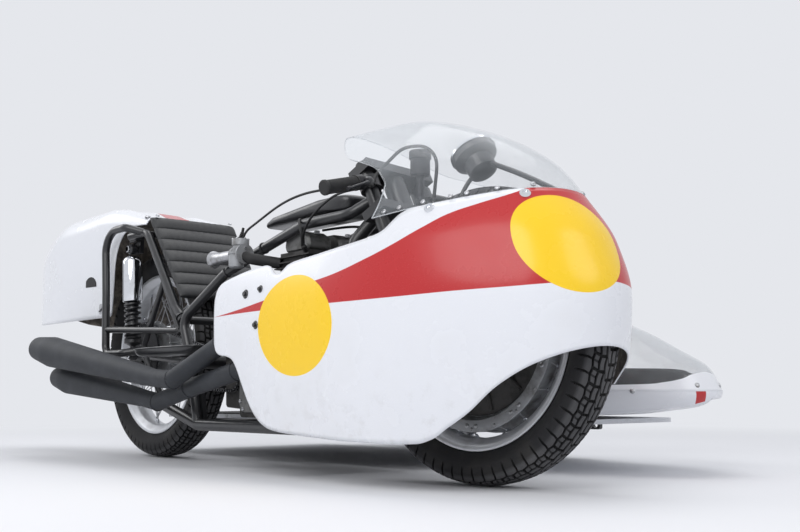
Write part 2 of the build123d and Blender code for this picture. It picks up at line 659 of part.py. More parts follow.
CLAMP_S = 450
CLAMP_X = WHEELBASE + TRAIL - (AXLE_UP + CLAMP_S) * sin(LEAN)
CLAMP_Z = (AXLE_UP + CLAMP_S) * cos(LEAN)
GRIP_RUN = Vector(*GRIP_END) - Vector(*GRIP_IN)
with BuildPart() as handlebars:
    for side in (-1, 1):
        low = STEER.from_local_coords((0, side * LEG_Y, CLAMP_S - 16))
        with BuildSketch(Plane(origin=low, z_dir=STEER.z_dir)) as ring:
            Circle(LEG_R + 9)
        extrude(to_extrude=ring.sketch, amount=32)
        tube(FORK, sided(((CLAMP_X + 18, LEG_Y + 12, CLAMP_Z), GRIP_IN, GRIP_END), side), BAR_R, bend=40)
        with BuildSketch(Plane(origin=low - STEER.z_dir * 5, z_dir=STEER.z_dir)) as ring:
            Circle(LEG_R + PIN_FIT)
        extrude(to_extrude=ring.sketch, amount=42, mode=Mode.SUBTRACT)
keep(handlebars, "handlebars")


def along_grip(share, side):
    """A point on the grip's run, in the frame of the steering."""
    point = Vector(*GRIP_IN) + GRIP_RUN * share
    return FORK.from_local_coords((point.X, side * point.Y, point.Z))


with BuildPart() as grips:
    for side in (-1, 1):
        start, end = along_grip(0.3, side), along_grip(1.02, side)
        way = (end - start).normalized()
        with BuildSketch(Plane(origin=start, z_dir=way)) as ring:
            Circle(GRIP_R)
        extrude(to_extrude=ring.sketch, amount=(end - start).length)
        with BuildSketch(Plane(origin=start - way * 5, z_dir=way)) as bore:
            Circle(BAR_R + PIN_FIT)
        extrude(to_extrude=bore.sketch, amount=(along_grip(1, side) - start).length + 5,
                mode=Mode.SUBTRACT)
keep(grips, "grips")

with BuildPart() as levers:
    for side in (-1, 1):
        start, end = along_grip(0.16, side), along_grip(0.28, side)
        way = (end - start).normalized()
        with BuildSketch(Plane(origin=start, z_dir=way)) as ring:
            Circle(BAR_R + 6)
        extrude(to_extrude=ring.sketch, amount=(end - start).length)
        tube(FORK, sided(((GRIP_IN[0] + 10, 222, 648), (GRIP_IN[0] + 34, 236, 642), (GRIP_IN[0] + 52, 306, 612)),
                         side), 5, bend=15)
        with Locations(FORK.from_local_coords((GRIP_IN[0] + 52, side * 306, 612))):
            Sphere(8)
        with BuildSketch(Plane(origin=start - way * 30, z_dir=way)) as bore:
            Circle(BAR_R + PIN_FIT)
        extrude(to_extrude=bore.sketch, amount=90, mode=Mode.SUBTRACT)
keep(levers, "levers")

# control cables, from the twist grip's housing to a carburettor and to the cylinder head
CABLE_R = 3
CABLE_RUNS = (
    ((1243, -210, 655), (1196, -206, 659), (1145, -201, 665), (1094, -197, 669), (1040, -192, 672),
     (985, -187, 671), (930, -182, 666), (878, -177, 657), (826, -172, 643), (775, -167, 625),
     (732, -163, 606), (708, -161, 588)),
    ((1243, -196, 650), (1205, -189, 654), (1160, -178, 657), (1110, -165, 657), (1058, -150, 652),
     (1008, -137, 642), (962, -128, 624), (930, -120, 602), (908, -108, 582), (898, -96, 562)),
)
with BuildPart() as control_cables:
    for run in CABLE_RUNS:
        points = [Vector(*point) for point in run]
        bends = []
        for before, corner, after in zip(points, points[1:], points[2:]):
            turn = radians((corner - before).get_angle(after - corner))
            shorter = min((corner - before).length, (after - corner).length)
            bends.append(0.45 * shorter / tan(turn / 2))
        with BuildLine(BIKE) as route:
            FilletPolyline(*run, radius=bends)
        with BuildSketch(Plane(origin=route.line @ 0, z_dir=route.line % 0)) as ring:
            Circle(CABLE_R)
        sweep(sections=ring.sketch, path=route.line)
        print("cable", [round(bend) for bend in bends], round(sum(edge.length for edge in route.line.edges())), "mm")
    print("cable volume", round(control_cables.part.volume))
keep(control_cables, "control_cables")

# ---------------------------------------------------------------- sidecar
INNER_RAIL_Y = FLOOR_IN + 30
OUTER_RAIL_Y = FLOOR_OUT - 25
CROSS_X = (-200, 110, 300, 620, 960)
TIE_R = 9
TIE_T = 12
TIE_BACK = FLOOR_BACK - 6
TIE_FRONT = 1044
STRUTS = (((1058, 92, 300), (940, 420)), ((150, 150, 680), (110, 520)))
with BuildPart() as sidecar_frame:
    for y in (INNER_RAIL_Y, OUTER_RAIL_Y):
        tube(BIKE, ((FLOOR_BACK + 20, y, SIDE_RAIL_Z), (1010, y, SIDE_RAIL_Z)), SIDE_RAIL_R)
    for x in CROSS_X:
        inner = RAIL_Y if x > RAIL_RUNS[0][1][0][0] else INNER_RAIL_Y
        tube(BIKE, ((x, inner, SIDE_RAIL_Z), (x, OUTER_RAIL_Y, SIDE_RAIL_Z)), SIDE_RAIL_R - 1)
    for top, (x, y) in STRUTS:
        tube(BIKE, (top, (x, y, FLOOR_Z + FLOOR_T + 16)), SIDE_RAIL_R - 2)
        box(BIKE, (x - 30, y - 30, FLOOR_Z + FLOOR_T), (x + 30, y + 30, FLOOR_Z + FLOOR_T + 20))
    for x, lug_x in ((FLOOR_BACK + 25, TIE_BACK), (1005, TIE_FRONT)):
        low, high = sorted((x, lug_x + (18 if lug_x > x else -18)))
        slab(BIKE, ((low, SIDE_RAIL_Z - 14), (high, SIDE_RAIL_Z - 14), (high, SIDE_RAIL_Z + 14),
                    (low, SIDE_RAIL_Z + 14)), OUTER_RAIL_Y - TIE_T / 2, OUTER_RAIL_Y + TIE_T / 2, corner=8)
        cross_bar(BIKE, lug_x, SIDE_RAIL_Z, OUTER_RAIL_Y - TIE_T, OUTER_RAIL_Y + TIE_T, TIE_R,
                  mode=Mode.SUBTRACT)
keep(sidecar_frame, "sidecar_frame")

POST_Y = FLOOR_OUT + 17
with BuildPart() as sidecar_axle:
    for x in (SIDE_WHEEL_X - 130, SIDE_WHEEL_X + 130):
        tube(BIKE, ((x, OUTER_RAIL_Y, SIDE_RAIL_Z), (x, POST_Y, SIDE_RAIL_Z), (SIDE_WHEEL_X, POST_Y, SIDE_TYRE_R)),
             12, bend=24)
    cross_bar(BIKE, SIDE_WHEEL_X, SIDE_TYRE_R, POST_Y - 22, TRACK - 60, 22)
    cross_bar(BIKE, SIDE_WHEEL_X, SIDE_TYRE_R, POST_Y, TRACK + 66, AXLE_R)
    cross_bar(BIKE, SIDE_WHEEL_X, SIDE_TYRE_R, TRACK + 54, TRACK + 64, NUT_R)
keep(sidecar_axle, "sidecar_axle")

FLOOR_PLAN = ((FLOOR_BACK, FLOOR_IN), (950, FLOOR_IN), (1040, 350), (1360, 410), (1360, 790), (1040, 850),
              (1000, FLOOR_OUT), (FLOOR_BACK, FLOOR_OUT))
with BuildPart() as sidecar_floor:
    with BuildSketch(BIKE.offset(FLOOR_Z)) as face:
        with BuildLine():
            Polyline(*FLOOR_PLAN, close=True)
        make_face()
    extrude(amount=FLOOR_T)
keep(sidecar_floor, "sidecar_floor")

with BuildPart() as sidecar_nose:
    nose_shell(BIKE, TUB_ROWS, TUB_Y, TUB_BACK, SKIN)
keep(sidecar_nose, "sidecar_nose")

with BuildPart() as sidecar_screen:
    nose_shell(BIKE, TUB_SCREEN_ROWS, TUB_Y, TUB_BACK + 20, SCREEN_T, lid=True)
keep(sidecar_screen, "sidecar_screen")

GUARD_R = SIDE_TYRE_R + GUARD_GAP
with BuildPart() as sidecar_mudguard:
    turned(BIKE, SIDE_WHEEL_X, SIDE_TYRE_R, TRACK, (
        (GUARD_R - 60, GUARD_HALF - GUARD_T), (GUARD_R, GUARD_HALF - GUARD_T), (GUARD_R, GUARD_T - GUARD_HALF),
        (GUARD_R - 60, GUARD_T - GUARD_HALF), (GUARD_R - 60, -GUARD_HALF), (GUARD_R + GUARD_T, -GUARD_HALF),
        (GUARD_R + GUARD_T, GUARD_HALF), (GUARD_R - 60, GUARD_HALF),
    ))
    box(BIKE, (-200, 850, -50), (600, 1150, SIDE_TYRE_R - 60), mode=Mode.SUBTRACT)
keep(sidecar_mudguard, "sidecar_mudguard")

with BuildPart() as mudguard_stays:
    for x in (SIDE_WHEEL_X - 306, SIDE_WHEEL_X + 306):
        tube(BIKE, ((x, OUTER_RAIL_Y, SIDE_RAIL_Z), (x, POST_Y, SIDE_RAIL_Z), (x, TRACK - GUARD_HALF - 6, 262)),
             8, bend=20)
keep(mudguard_stays, "mudguard_stays")

HANDLES = (  # foot, height, way, reach
    ((870, 420), 210, (0, 1), 360),
    ((60, 820), 150, (1, 0), 260),
    ((-260, 330), 150, (0, 1), 260),
)
with BuildPart() as grab_handles:
    for (x, y), height, (ax, ay), reach in HANDLES:
        top = FLOOR_Z + FLOOR_T
        tube(BIKE, ((x, y, top), (x, y, top + height), (x + ax * reach, y + ay * reach, top + height),
                    (x + ax * reach, y + ay * reach, top)), BAR_R, bend=40)
keep(grab_handles, "grab_handles")
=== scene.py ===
"""Finishes for a racing sidecar outfit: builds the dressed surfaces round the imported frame."""

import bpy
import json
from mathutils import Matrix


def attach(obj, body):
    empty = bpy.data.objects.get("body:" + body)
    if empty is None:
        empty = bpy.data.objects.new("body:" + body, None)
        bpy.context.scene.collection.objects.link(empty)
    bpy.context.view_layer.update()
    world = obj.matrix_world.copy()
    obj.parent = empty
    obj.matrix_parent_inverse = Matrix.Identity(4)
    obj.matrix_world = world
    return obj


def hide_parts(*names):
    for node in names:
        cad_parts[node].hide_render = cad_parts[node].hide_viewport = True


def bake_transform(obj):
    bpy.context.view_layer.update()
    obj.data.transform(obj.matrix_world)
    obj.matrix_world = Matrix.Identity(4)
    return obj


bl_info = {
    "name": "Racing Sidecar Outfit",
    "version": (1, 0, 0),
    "blender": (4, 5, 0),
    "location": "View3D > Sidebar > Sidecar",
    "description": "Dresses the frame of a racing sidecar outfit with its panels, wheels and fittings",
    "category": "Object",
}

import json
from math import atan2, cos, pi, radians, sin

import bmesh
import bpy
import numpy as np
from bpy.props import FloatProperty, FloatVectorProperty, IntProperty, PointerProperty
from mathutils import Matrix, Vector

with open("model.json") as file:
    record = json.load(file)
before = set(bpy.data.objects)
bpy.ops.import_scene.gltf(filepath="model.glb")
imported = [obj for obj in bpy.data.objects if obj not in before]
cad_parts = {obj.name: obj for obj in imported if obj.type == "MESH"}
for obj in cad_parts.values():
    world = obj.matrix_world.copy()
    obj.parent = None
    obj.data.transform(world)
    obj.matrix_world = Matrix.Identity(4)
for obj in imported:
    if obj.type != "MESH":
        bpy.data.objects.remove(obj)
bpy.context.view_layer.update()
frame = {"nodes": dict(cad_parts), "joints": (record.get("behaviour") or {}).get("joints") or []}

# ground point under the rear axle, in the frame, and the steering at rest
GROUND = np.array((-0.4635, -0.364, 0.0))
STEERING = next(j for j in frame["joints"] if j["name"] == "steering")
FRONT_SPIN = next(j for j in frame["joints"] if j["name"] == "front_wheel_spin")
HEAD_AT = np.array(STEERING["pos_m"])
HEAD_AXIS = np.array(STEERING["axis"]) / np.linalg.norm(STEERING["axis"])
REST_TURN = radians(4.9)


# ------------------------------------------------------------------ places
def at(points):
    """Points given in millimetres from the ground under the rear axle, in the frame's metres."""
    return np.asarray(points, float) / 1000 + GROUND


def swing(points, angle=REST_TURN):
    """Turn points about the steering axis: the part along the axis stays, the rest turns by the angle."""
    v = np.asarray(points, float) - HEAD_AT
    along = (v @ HEAD_AXIS)[..., None] * HEAD_AXIS
    return HEAD_AT + along + (v - along) * cos(angle) + np.cross(HEAD_AXIS, v) * sin(angle)


def steered(points):
    """Points of the front end, given in millimetres with the bars straight, at their place at rest."""
    return swing(at(points))


def unit(v):
    """Each vector divided by its own length."""
    v = np.asarray(v, float)
    return v / np.maximum(np.linalg.norm(v, axis=-1, keepdims=True), 1e-12)


# ------------------------------------------------------------------ curves and surfaces
def through(x, xs, ys):
    """Monotone cubic through the points: Hermite spans whose slopes are harmonic means of the chords."""
    x, xs, ys = np.asarray(x, float), np.asarray(xs, float), np.asarray(ys, float)
    flat = ys.ndim == 1
    ys = ys[:, None] if flat else ys
    step = np.diff(xs)[:, None]
    chord = np.diff(ys, axis=0) / step
    same = chord[:-1] * chord[1:] > 0
    mean = np.where(same, 2 * chord[:-1] * chord[1:] / np.where(same, chord[:-1] + chord[1:], 1), 0)
    slope = np.concatenate((chord[:1], mean, chord[-1:]))
    i = np.clip(np.searchsorted(xs, x) - 1, 0, len(xs) - 2)
    t = np.clip((x - xs[i]) / (xs[i + 1] - xs[i]), 0, 1)[..., None]
    h = step[i]
    out = ((1 + 2 * t) * (1 - t) ** 2 * ys[i] + t * (1 - t) ** 2 * h * slope[i]
           + t * t * (3 - 2 * t) * ys[i + 1] + t * t * (t - 1) * h * slope[i + 1])
    return out[..., 0] if flat else out


def smooth_line(points, count):
    """A smooth line through points: each coordinate is a spline over the chord length."""
    p = np.asarray(points, float)
    run = np.concatenate(([0], np.cumsum(np.linalg.norm(np.diff(p, axis=0), axis=1))))
    n = len(p)
    step = np.diff(run)
    grid, right = np.eye(n), np.zeros((n, p.shape[1]))
    for k in range(1, n - 1):
        grid[k, k - 1:k + 2] = step[k - 1], 2 * (step[k - 1] + step[k]), step[k]
        right[k] = 6 * ((p[k + 1] - p[k]) / step[k] - (p[k] - p[k - 1]) / step[k - 1])
    curve = np.linalg.solve(grid, right)
    x = np.linspace(0, run[-1], count)
    i = np.clip(np.searchsorted(run, x) - 1, 0, n - 2)
    h, a, b = step[i][:, None], (run[i + 1] - x)[:, None], (x - run[i])[:, None]
    return (curve[i] * a ** 3 + curve[i + 1] * b ** 3) / (6 * h) \
        + (p[i] / h - curve[i] * h / 6) * a + (p[i + 1] / h - curve[i + 1] * h / 6) * b


def bent_line(points, bend, arc=9):
    """Straight runs joined by arcs: each corner is replaced by its tangent arc of radius bend."""
    p = np.asarray(points, float)
    bends = np.broadcast_to(np.asarray(bend, float), (len(p),))
    line = [p[:1]]
    for k in range(1, len(p) - 1):
        a, b = unit(p[k - 1] - p[k]), unit(p[k + 1] - p[k])
        half = 0.5 * np.arccos(np.clip(a @ b, -1, 1))
        reach = bends[k] / np.tan(half)
        centre = p[k] + unit(a + b) * bends[k] / np.sin(half)
        start, end = p[k] + a * reach - centre, p[k] + b * reach - centre
        t = np.linspace(0, 1, arc)[:, None] * (pi - 2 * half)
        side = unit(end - start * (start @ end) / (start @ start)) * bends[k]
        line.append(centre + start * np.cos(t) + side * np.sin(t))
    line.append(p[-1:])
    return np.concatenate(line)


def rails(line):
    """Two directions across a line at each point: a side vector carried along it and its companion."""
    way = unit(np.gradient(line, axis=0))
    ref = np.eye(3)[np.argmin(np.abs(way).max(axis=0))]
    side = unit(np.cross(way, ref))
    return way, side, np.cross(side, way)


def pipe(line, radius, sides=14, caps=True, squash=1.0):
    """A round section carried along a line: centre + radius * (side cos t + up sin t)."""
    line = np.asarray(line, float)
    radius = np.broadcast_to(np.asarray(radius, float), (len(line),)).copy()
    if caps:
        line = np.concatenate((line[:1], line, line[-1:]))
        radius = np.concatenate(([0], radius, [0]))
    inner = line[1:-1] if caps else line
    _, side, up = rails(inner)
    if caps:
        side, up = (np.concatenate((v[:1], v, v[-1:])) for v in (side, up))
    t = np.linspace(0, 2 * pi, sides + 1)
    ring = side[:, None] * np.cos(t)[None, :, None] + squash * up[:, None] * np.sin(t)[None, :, None]
    return line[:, None] + ring * radius[:, None, None]


def lathe(profile, centre, axis, around=48, span=(0, 2 * pi)):
    """A profile of (radius, height) pairs turned about an axis through centre."""
    profile = np.asarray(profile, float)
    axis = unit(axis)
    side = unit(np.cross(axis, (0, 0, 1) if abs(axis[2]) < 0.99 else (1, 0, 0)))
    other = np.cross(axis, side)
    t = np.linspace(*span, around + 1)
    ring = side * np.cos(t)[:, None] + other * np.sin(t)[:, None]
    return np.asarray(centre) + profile[None, :, :1] * ring[:, None] + profile[None, :, 1:] * axis


def rounded(outline, corner, arc=5):
    """A closed outline with each corner replaced by a tangent arc, as many points at each."""
    p = np.asarray(outline, float)
    out = []
    for k in range(len(p)):
        a, b = unit(p[k - 1] - p[k]), unit(p[(k + 1) % len(p)] - p[k])
        half = 0.5 * np.arccos(np.clip(a @ b, -1, 1))
        room = min(np.linalg.norm(p[k - 1] - p[k]), np.linalg.norm(p[(k + 1) % len(p)] - p[k])) * 0.49
        r = min(corner, room * np.tan(half))
        centre = p[k] + unit(a + b) * r / np.sin(half)
        start = p[k] + a * r / np.tan(half) - centre
        end = p[k] + b * r / np.tan(half) - centre
        t = np.linspace(0, 1, arc)[:, None]
        out.append(centre + unit(start * (1 - t) + end * t) * r)
    out = np.concatenate(out)
    return np.concatenate((out, out[:1]))


def prism(outline, low, high, edge=0.0015, axis="y"):
    """An outline carried between two depths along y or z, its ends drawn in and closed to their middle."""
    o = np.asarray(outline, float)
    mid = o[:-1].mean(axis=0)
    wide = np.linalg.norm(o - mid, axis=1).mean()
    share = np.array((0, 1 - edge / wide, 1, 1, 1 - edge / wide, 0))
    depth = np.array((low, low, low + edge, high - edge, high, high))
    flat = mid + (o - mid)[None] * share[:, None, None]
    deep = np.broadcast_to(depth[:, None, None], flat.shape[:2] + (1,))
    parts = (flat[..., :1], deep, flat[..., 1:]) if axis == "y" else (flat, deep)
    return np.concatenate(parts, axis=-1)


def faces_of(rows, cols, turn):
    """Quads between neighbouring points of a grid, wound one way or the other."""
    r, c = np.meshgrid(np.arange(rows - 1), np.arange(cols - 1), indexing="ij")
    a = (r * cols + c).ravel()
    quad = np.stack((a, a + cols, a + cols + 1, a + 1), axis=-1)
    return quad[:, ::-1] if turn else quad


def piece(name, grids, finish, body, replaces=(), crease=35, wall=0, attribute=None,
          weld=1e-6, flip=None, rim_only=False):
    """One object from grids of points: joined where they touch, faced outwards, shaded and put on a body.
    Where flip is given, the faces keep the way of the grid, turned over if it is true."""
    grids = [np.asarray(g, float) for g in (grids if isinstance(grids, (list, tuple)) else [grids])]
    points = np.concatenate([g.reshape(-1, 3) for g in grids])
    quads, start = [], 0
    for g in grids:
        quads.append(faces_of(*g.shape[:2], bool(flip)) + start)
        start += g.shape[0] * g.shape[1]
    quads = np.concatenate(quads)
    mesh = bpy.data.meshes.new(name)
    mesh.vertices.add(len(points))
    mesh.vertices.foreach_set("co", points.ravel())
    mesh.loops.add(quads.size)
    mesh.loops.foreach_set("vertex_index", quads.ravel())
    mesh.polygons.add(len(quads))
    mesh.polygons.foreach_set("loop_start", np.arange(len(quads)) * 4)
    mesh.update(calc_edges=True)
    if attribute is not None:
        key, values = attribute
        layer = mesh.attributes.new(key, "FLOAT", "POINT")
        layer.data.foreach_set("value", np.concatenate([np.ravel(v) for v in values]).astype(np.float32))
    work = bmesh.new()
    work.from_mesh(mesh)
    bmesh.ops.remove_doubles(work, verts=work.verts, dist=weld)
    bmesh.ops.dissolve_degenerate(work, edges=work.edges, dist=weld)
    if flip is None:
        bmesh.ops.recalc_face_normals(work, faces=work.faces)
    work.to_mesh(mesh)
    work.free()
    thing = bpy.data.objects.new(name, mesh)
    bpy.context.scene.collection.objects.link(thing)
    finishes = finish if isinstance(finish, (list, tuple)) else [finish]
    for one in finishes:
        mesh.materials.append(one)
    mesh.shade_smooth()
    mesh.set_sharp_from_angle(angle=radians(crease))
    if wall:
        solid = thing.modifiers.new("wall", "SOLIDIFY")
        solid.thickness, solid.offset, solid.use_even_offset = wall, -1, False
        solid.material_offset = 0 if rim_only else len(finishes) - 1
        solid.material_offset_rim = len(finishes) - 1 if rim_only else 0
    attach(thing, body)
    if replaces:
        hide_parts(*replaces)
    return thing


def dress(finish, *nodes):
    """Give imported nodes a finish."""
    for name in nodes:
        mesh = frame["nodes"][name].data
        mesh.materials.clear()
        mesh.materials.append(finish)


def screw(place, way, radius=0.006, height=0.003):
    """A round-headed screw: a low dome turned about its own axis."""
    t = np.linspace(0, pi / 2, 5)
    dome = np.stack((radius * np.cos(t), height * (0.35 + 0.65 * np.sin(t))), axis=-1)
    return lathe(np.concatenate(([(radius, -height * 0.5)], dome)), place, way, 14)


def hexagon(place, way, radius=0.008, height=0.006):
    """A six-sided nut or bolt head with a drawn-in top."""
    profile = ((radius, -0.001), (radius, height * 0.85), (radius * 0.86, height), (0, height))
    return lathe(profile, place, way, 6)


# ------------------------------------------------------------------ finishes
class Val:
    """A shader socket that takes part in sums: each operator adds a Math node."""

    def __init__(self, finish, socket):
        self.finish, self.socket = finish, socket

    def __abs__(self):
        return self.finish.math("ABSOLUTE", self)


def sums(operation):
    """The two methods of an operator, for a socket on its left and on its right."""
    return (lambda self, other: self.finish.math(operation, self, other),
            lambda self, other: self.finish.math(operation, other, self))


for word, operation in (("add", "ADD"), ("sub", "SUBTRACT"), ("mul", "MULTIPLY"), ("truediv", "DIVIDE")):
    left, right = sums(operation)
    setattr(Val, f"__{word}__", left)
    setattr(Val, f"__r{word}__", right)


class Shader:
    """The node tree of a material or a world, and the few steps that it is written in."""

    def __init__(self, owner):
        owner.use_nodes = True
        self.tree = owner.node_tree
        self.tree.nodes.clear()

    def node(self, kind, settings=None, out=0, **inputs):
        """Any node: its type, its settings, the socket it gives and the values or links of its sockets."""
        made = self.tree.nodes.new(kind)
        for key, value in (settings or {}).items():
            setattr(made, key, value)
        for key, value in inputs.items():
            socket = made.inputs[int(key[1:])] if key[0] == "i" and key[1:].isdigit() else \
                made.inputs[key.replace("_", " ")]
            if isinstance(value, Val):
                self.tree.links.new(value.socket, socket)
            else:
                socket.default_value = value
        return Val(self, made.outputs[out])

    def math(self, operation, a, b=0.0):
        return self.node("ShaderNodeMath", {"operation": operation}, i0=a, i1=b)

    def ray(self, kind):
        """1 for the rays of a kind, such as those from the camera."""
        return self.node("ShaderNodeLightPath", out=f"Is {kind} Ray")

    def step(self, value, low, high):
        """0 below low, 1 above high and a smooth rise between."""
        return self.node("ShaderNodeMapRange", {"interpolation_type": "SMOOTHSTEP"}, Value=value,
                         From_Min=low, From_Max=high)

    def mix(self, share, a, b):
        """Colour a, or colour b where share is 1."""
        made = self.tree.nodes.new("ShaderNodeMix")
        made.data_type = "RGBA"
        for socket, value in ((made.inputs[0], share), (made.inputs[6], a), (made.inputs[7], b)):
            if isinstance(value, Val):
                self.tree.links.new(value.socket, socket)
            elif socket is made.inputs[0]:
                socket.default_value = value
            else:
                socket.default_value = tuple(value)[:3] + (1,)
        return Val(self, made.outputs[2])

    def curve(self, value, stops):
        """A value carried along a smooth curve through stops."""
        (low, _), (high, _) = stops[0], stops[-1]
        made = self.tree.nodes.new("ShaderNodeFloatCurve")
        line = made.mapping.curves[0]
        lows, highs = min(v for _, v in stops), max(v for _, v in stops)
        spots = [((x - low) / (high - low), (v - lows) / ((highs - lows) or 1)) for x, v in stops]
        while len(line.points) < len(spots):
            line.points.new(0.5, 0.5)
        for point, spot in zip(line.points, spots):
            point.location = spot
            point.handle_type = "AUTO"
        made.mapping.update()
        self.tree.links.new(((value - low) / (high - low)).socket, made.inputs["Value"])
        return Val(self, made.outputs[0]) * (highs - lows) + lows

    def out(self, shader, end="ShaderNodeOutputMaterial"):
        """Wires a shader to the output."""
        self.tree.links.new(shader.socket, self.tree.nodes.new(end).inputs["Surface"])


class Finish(Shader):
    """One material, with the object's own coordinates to paint it by."""

    def __init__(self, name):
        self.material = bpy.data.materials.new(name)
        super().__init__(self.material)
        self.here = self.node("ShaderNodeTexCoord", out="Object")
        split = self.node("ShaderNodeSeparateXYZ", Vector=self.here)
        self.x, self.y, self.z = (Val(self, split.socket.node.outputs[k]) for k in "XYZ")

    def noise(self, scale, detail=3.0, rough=0.5, stretch=None):
        """Noise from 0 to 1 with blobs about 1 / scale metres across, drawn out by stretch."""
        vector = self.node("ShaderNodeMapping", Vector=self.here, Scale=stretch) if stretch else self.here
        return self.node("ShaderNodeTexNoise", Vector=vector, Scale=scale, Detail=detail, Roughness=rough)

    def bump(self, height, distance, strength):
        return self.node("ShaderNodeBump", Height=height, Distance=distance, Strength=strength)

    def surface(self, tint, rough, metal=0.0, bump=None, **sockets):
        """The whole finish: its colour, roughness, share of metal and bump, and any other sockets."""
        if bump:
            sockets["Normal"] = self.bump(*bump)
        self.out(self.node("ShaderNodeBsdfPrincipled", Base_Color=tint, Roughness=rough, Metallic=metal,
                           **sockets))
        return self.material


def srgb(r, g, b):
    """A colour written in screen values from 0 to 255, in linear light."""
    c = np.array((r, g, b), float) / 255
    return tuple(np.where(c <= 0.04045, c / 12.92, ((c + 0.055) / 1.055) ** 2.4)) + (1.0,)


def black_enamel():
    f = Finish("black_enamel")
    dust = f.noise(35, 4)
    scuff = f.step(f.noise(260, 3, 0.6, (1, 1, 1)), 0.66, 0.74) * f.step(f.noise(9), 0.48, 0.62)
    tint = f.mix(dust * 0.5, srgb(24, 25, 28), srgb(42, 42, 45))
    tint = f.mix(scuff * 0.5, tint, srgb(110, 108, 104))
    return f.surface(tint, rough=0.3 + dust * 0.16 + scuff * 0.2, Coat_Weight=0.35,
                     Coat_Roughness=0.15, bump=(f.noise(420, 2), 0.0002, 0.35))


def tyre_rubber():
    f = Finish("tyre_rubber")
    fine, broad = f.noise(900, 3, 0.65), f.noise(14, 4)
    # The tread attribute is 1 on the lug tops, which are scrubbed lighter by wear, and -1 in the grooves.
    worn = f.node("ShaderNodeAttribute", {"attribute_name": "tread"}, out="Fac")
    dust = f.step(broad, 0.42, 0.72)
    tint = f.mix(dust * 0.55, srgb(34, 34, 36), srgb(62, 60, 58))
    tint = f.mix(f.math("MAXIMUM", worn, 0.0) * (0.5 + dust * 0.3), tint, srgb(92, 92, 94))
    # Painted shade: the grooves are darkened in colour wherever the tread attribute is below zero.
    tint = f.mix(f.math("MAXIMUM", 0 - worn, 0.0) * 0.8, tint, srgb(12, 12, 13))
    return f.surface(tint, rough=0.62 + fine * 0.2, Specular_IOR_Level=0.35, bump=(fine, 0.0006, 0.4))


def soft_rubber():
    f = Finish("soft_rubber")
    fine = f.noise(700, 3, 0.6)
    tint = f.mix(f.step(f.noise(30, 3), 0.4, 0.75) * 0.5, srgb(24, 24, 26), srgb(48, 47, 46))
    return f.surface(tint, rough=0.58 + fine * 0.2, bump=(fine, 0.0004, 0.4))


def rim_alloy():
    f = Finish("rim_alloy")
    brushed = f.noise(160, 4, 0.6, (1, 6, 1))
    stain = f.step(f.noise(26, 4), 0.5, 0.75)
    tint = f.mix(stain * 0.4, srgb(222, 224, 228), srgb(178, 178, 180))
    return f.surface(tint, metal=0.5, rough=0.34 + brushed * 0.14 + stain * 0.1,
                     bump=(brushed, 0.0003, 0.2))


def bright_steel():
    f = Finish("bright_steel")
    brushed = f.noise(300, 3, 0.6)
    tint = f.mix(f.step(f.noise(60, 4), 0.5, 0.8), srgb(176, 177, 180), srgb(124, 122, 119))
    return f.surface(tint, metal=1.0, rough=0.28 + brushed * 0.2)


def chrome():
    f = Finish("chrome")
    haze = f.step(f.noise(55, 4), 0.45, 0.8)
    return f.surface(f.mix(haze * 0.3, srgb(226, 228, 232), srgb(186, 187, 189)), metal=1.0,
                     rough=0.07 + haze * 0.12)


def cast_alloy():
    f = Finish("cast_alloy")
    grain, oil = f.noise(480, 4, 0.7), f.step(f.noise(22, 5, 0.6), 0.5, 0.72)
    tint = f.mix(oil * 0.75, srgb(132, 132, 131), srgb(58, 55, 51))
    return f.surface(tint, metal=0.75, rough=0.5 + grain * 0.2 - oil * 0.12, bump=(grain, 0.0006, 0.6))


def dark_casting():
    f = Finish("dark_casting")
    grain, oil = f.noise(420, 4, 0.7), f.step(f.noise(25, 5, 0.6), 0.45, 0.7)
    tint = f.mix(oil * 0.7, srgb(74, 73, 72), srgb(34, 33, 32))
    return f.surface(tint, metal=0.45, rough=0.52 + grain * 0.2, bump=(grain, 0.0006, 0.5))


def stove_black():
    """Matt heat-proof paint, greyed by heat and chalky in patches."""
    f = Finish("stove_black")
    chalk, fine = f.step(f.noise(16, 5, 0.6), 0.42, 0.72), f.noise(700, 3, 0.7)
    rub = f.step(f.noise(180, 4, 0.7), 0.62, 0.74) * f.step(f.noise(8, 3), 0.5, 0.62)
    tint = f.mix(chalk * 0.6, srgb(38, 41, 46), srgb(54, 57, 62))
    tint = f.mix(rub * 0.35, tint, srgb(140, 140, 142))
    return f.surface(tint, metal=0.1, rough=0.55 + fine * 0.2 - rub * 0.1, bump=(fine, 0.0004, 0.45))


def clear_sheet():
    """Clear acrylic: seen through, whiter where it is looked along."""
    f = Finish("clear_sheet")
    edge = f.node("ShaderNodeLayerWeight", Blend=0.5, out="Facing")
    haze = f.step(f.noise(12, 4, 0.6), 0.42, 0.7)
    scratch = f.step(f.noise(90, 2, 0.5, (1, 1, 14)), 0.66, 0.72)
    alpha = 0.03 + edge * edge * 0.3 + haze * 0.03 + scratch * 0.02
    return f.surface(srgb(226, 232, 238), rough=0.06, Alpha=alpha, Specular_IOR_Level=0.5)


def plain_white():
    f = Finish("plain_white")
    grime = f.step(f.noise(11, 4, 0.6), 0.45, 0.8)
    tint = f.mix(grime * 0.25, srgb(226, 228, 232), srgb(206, 205, 202))
    return f.surface(tint, rough=0.3 + grime * 0.1, Coat_Weight=0.5, Coat_Roughness=0.08,
                     bump=(f.noise(60, 2), 0.0008, 0.12))


def hub_casting():
    """Sand-cast alloy under old grey paint, darker in patches of dirt."""
    f = Finish("hub_casting")
    grain, dirt = f.noise(520, 4, 0.7), f.step(f.noise(24, 5, 0.6), 0.45, 0.72)
    tint = f.mix(dirt * 0.7, srgb(158, 160, 163), srgb(96, 92, 88))
    return f.surface(tint, metal=0.4, rough=0.46 + grain * 0.2, bump=(grain, 0.0005, 0.5))


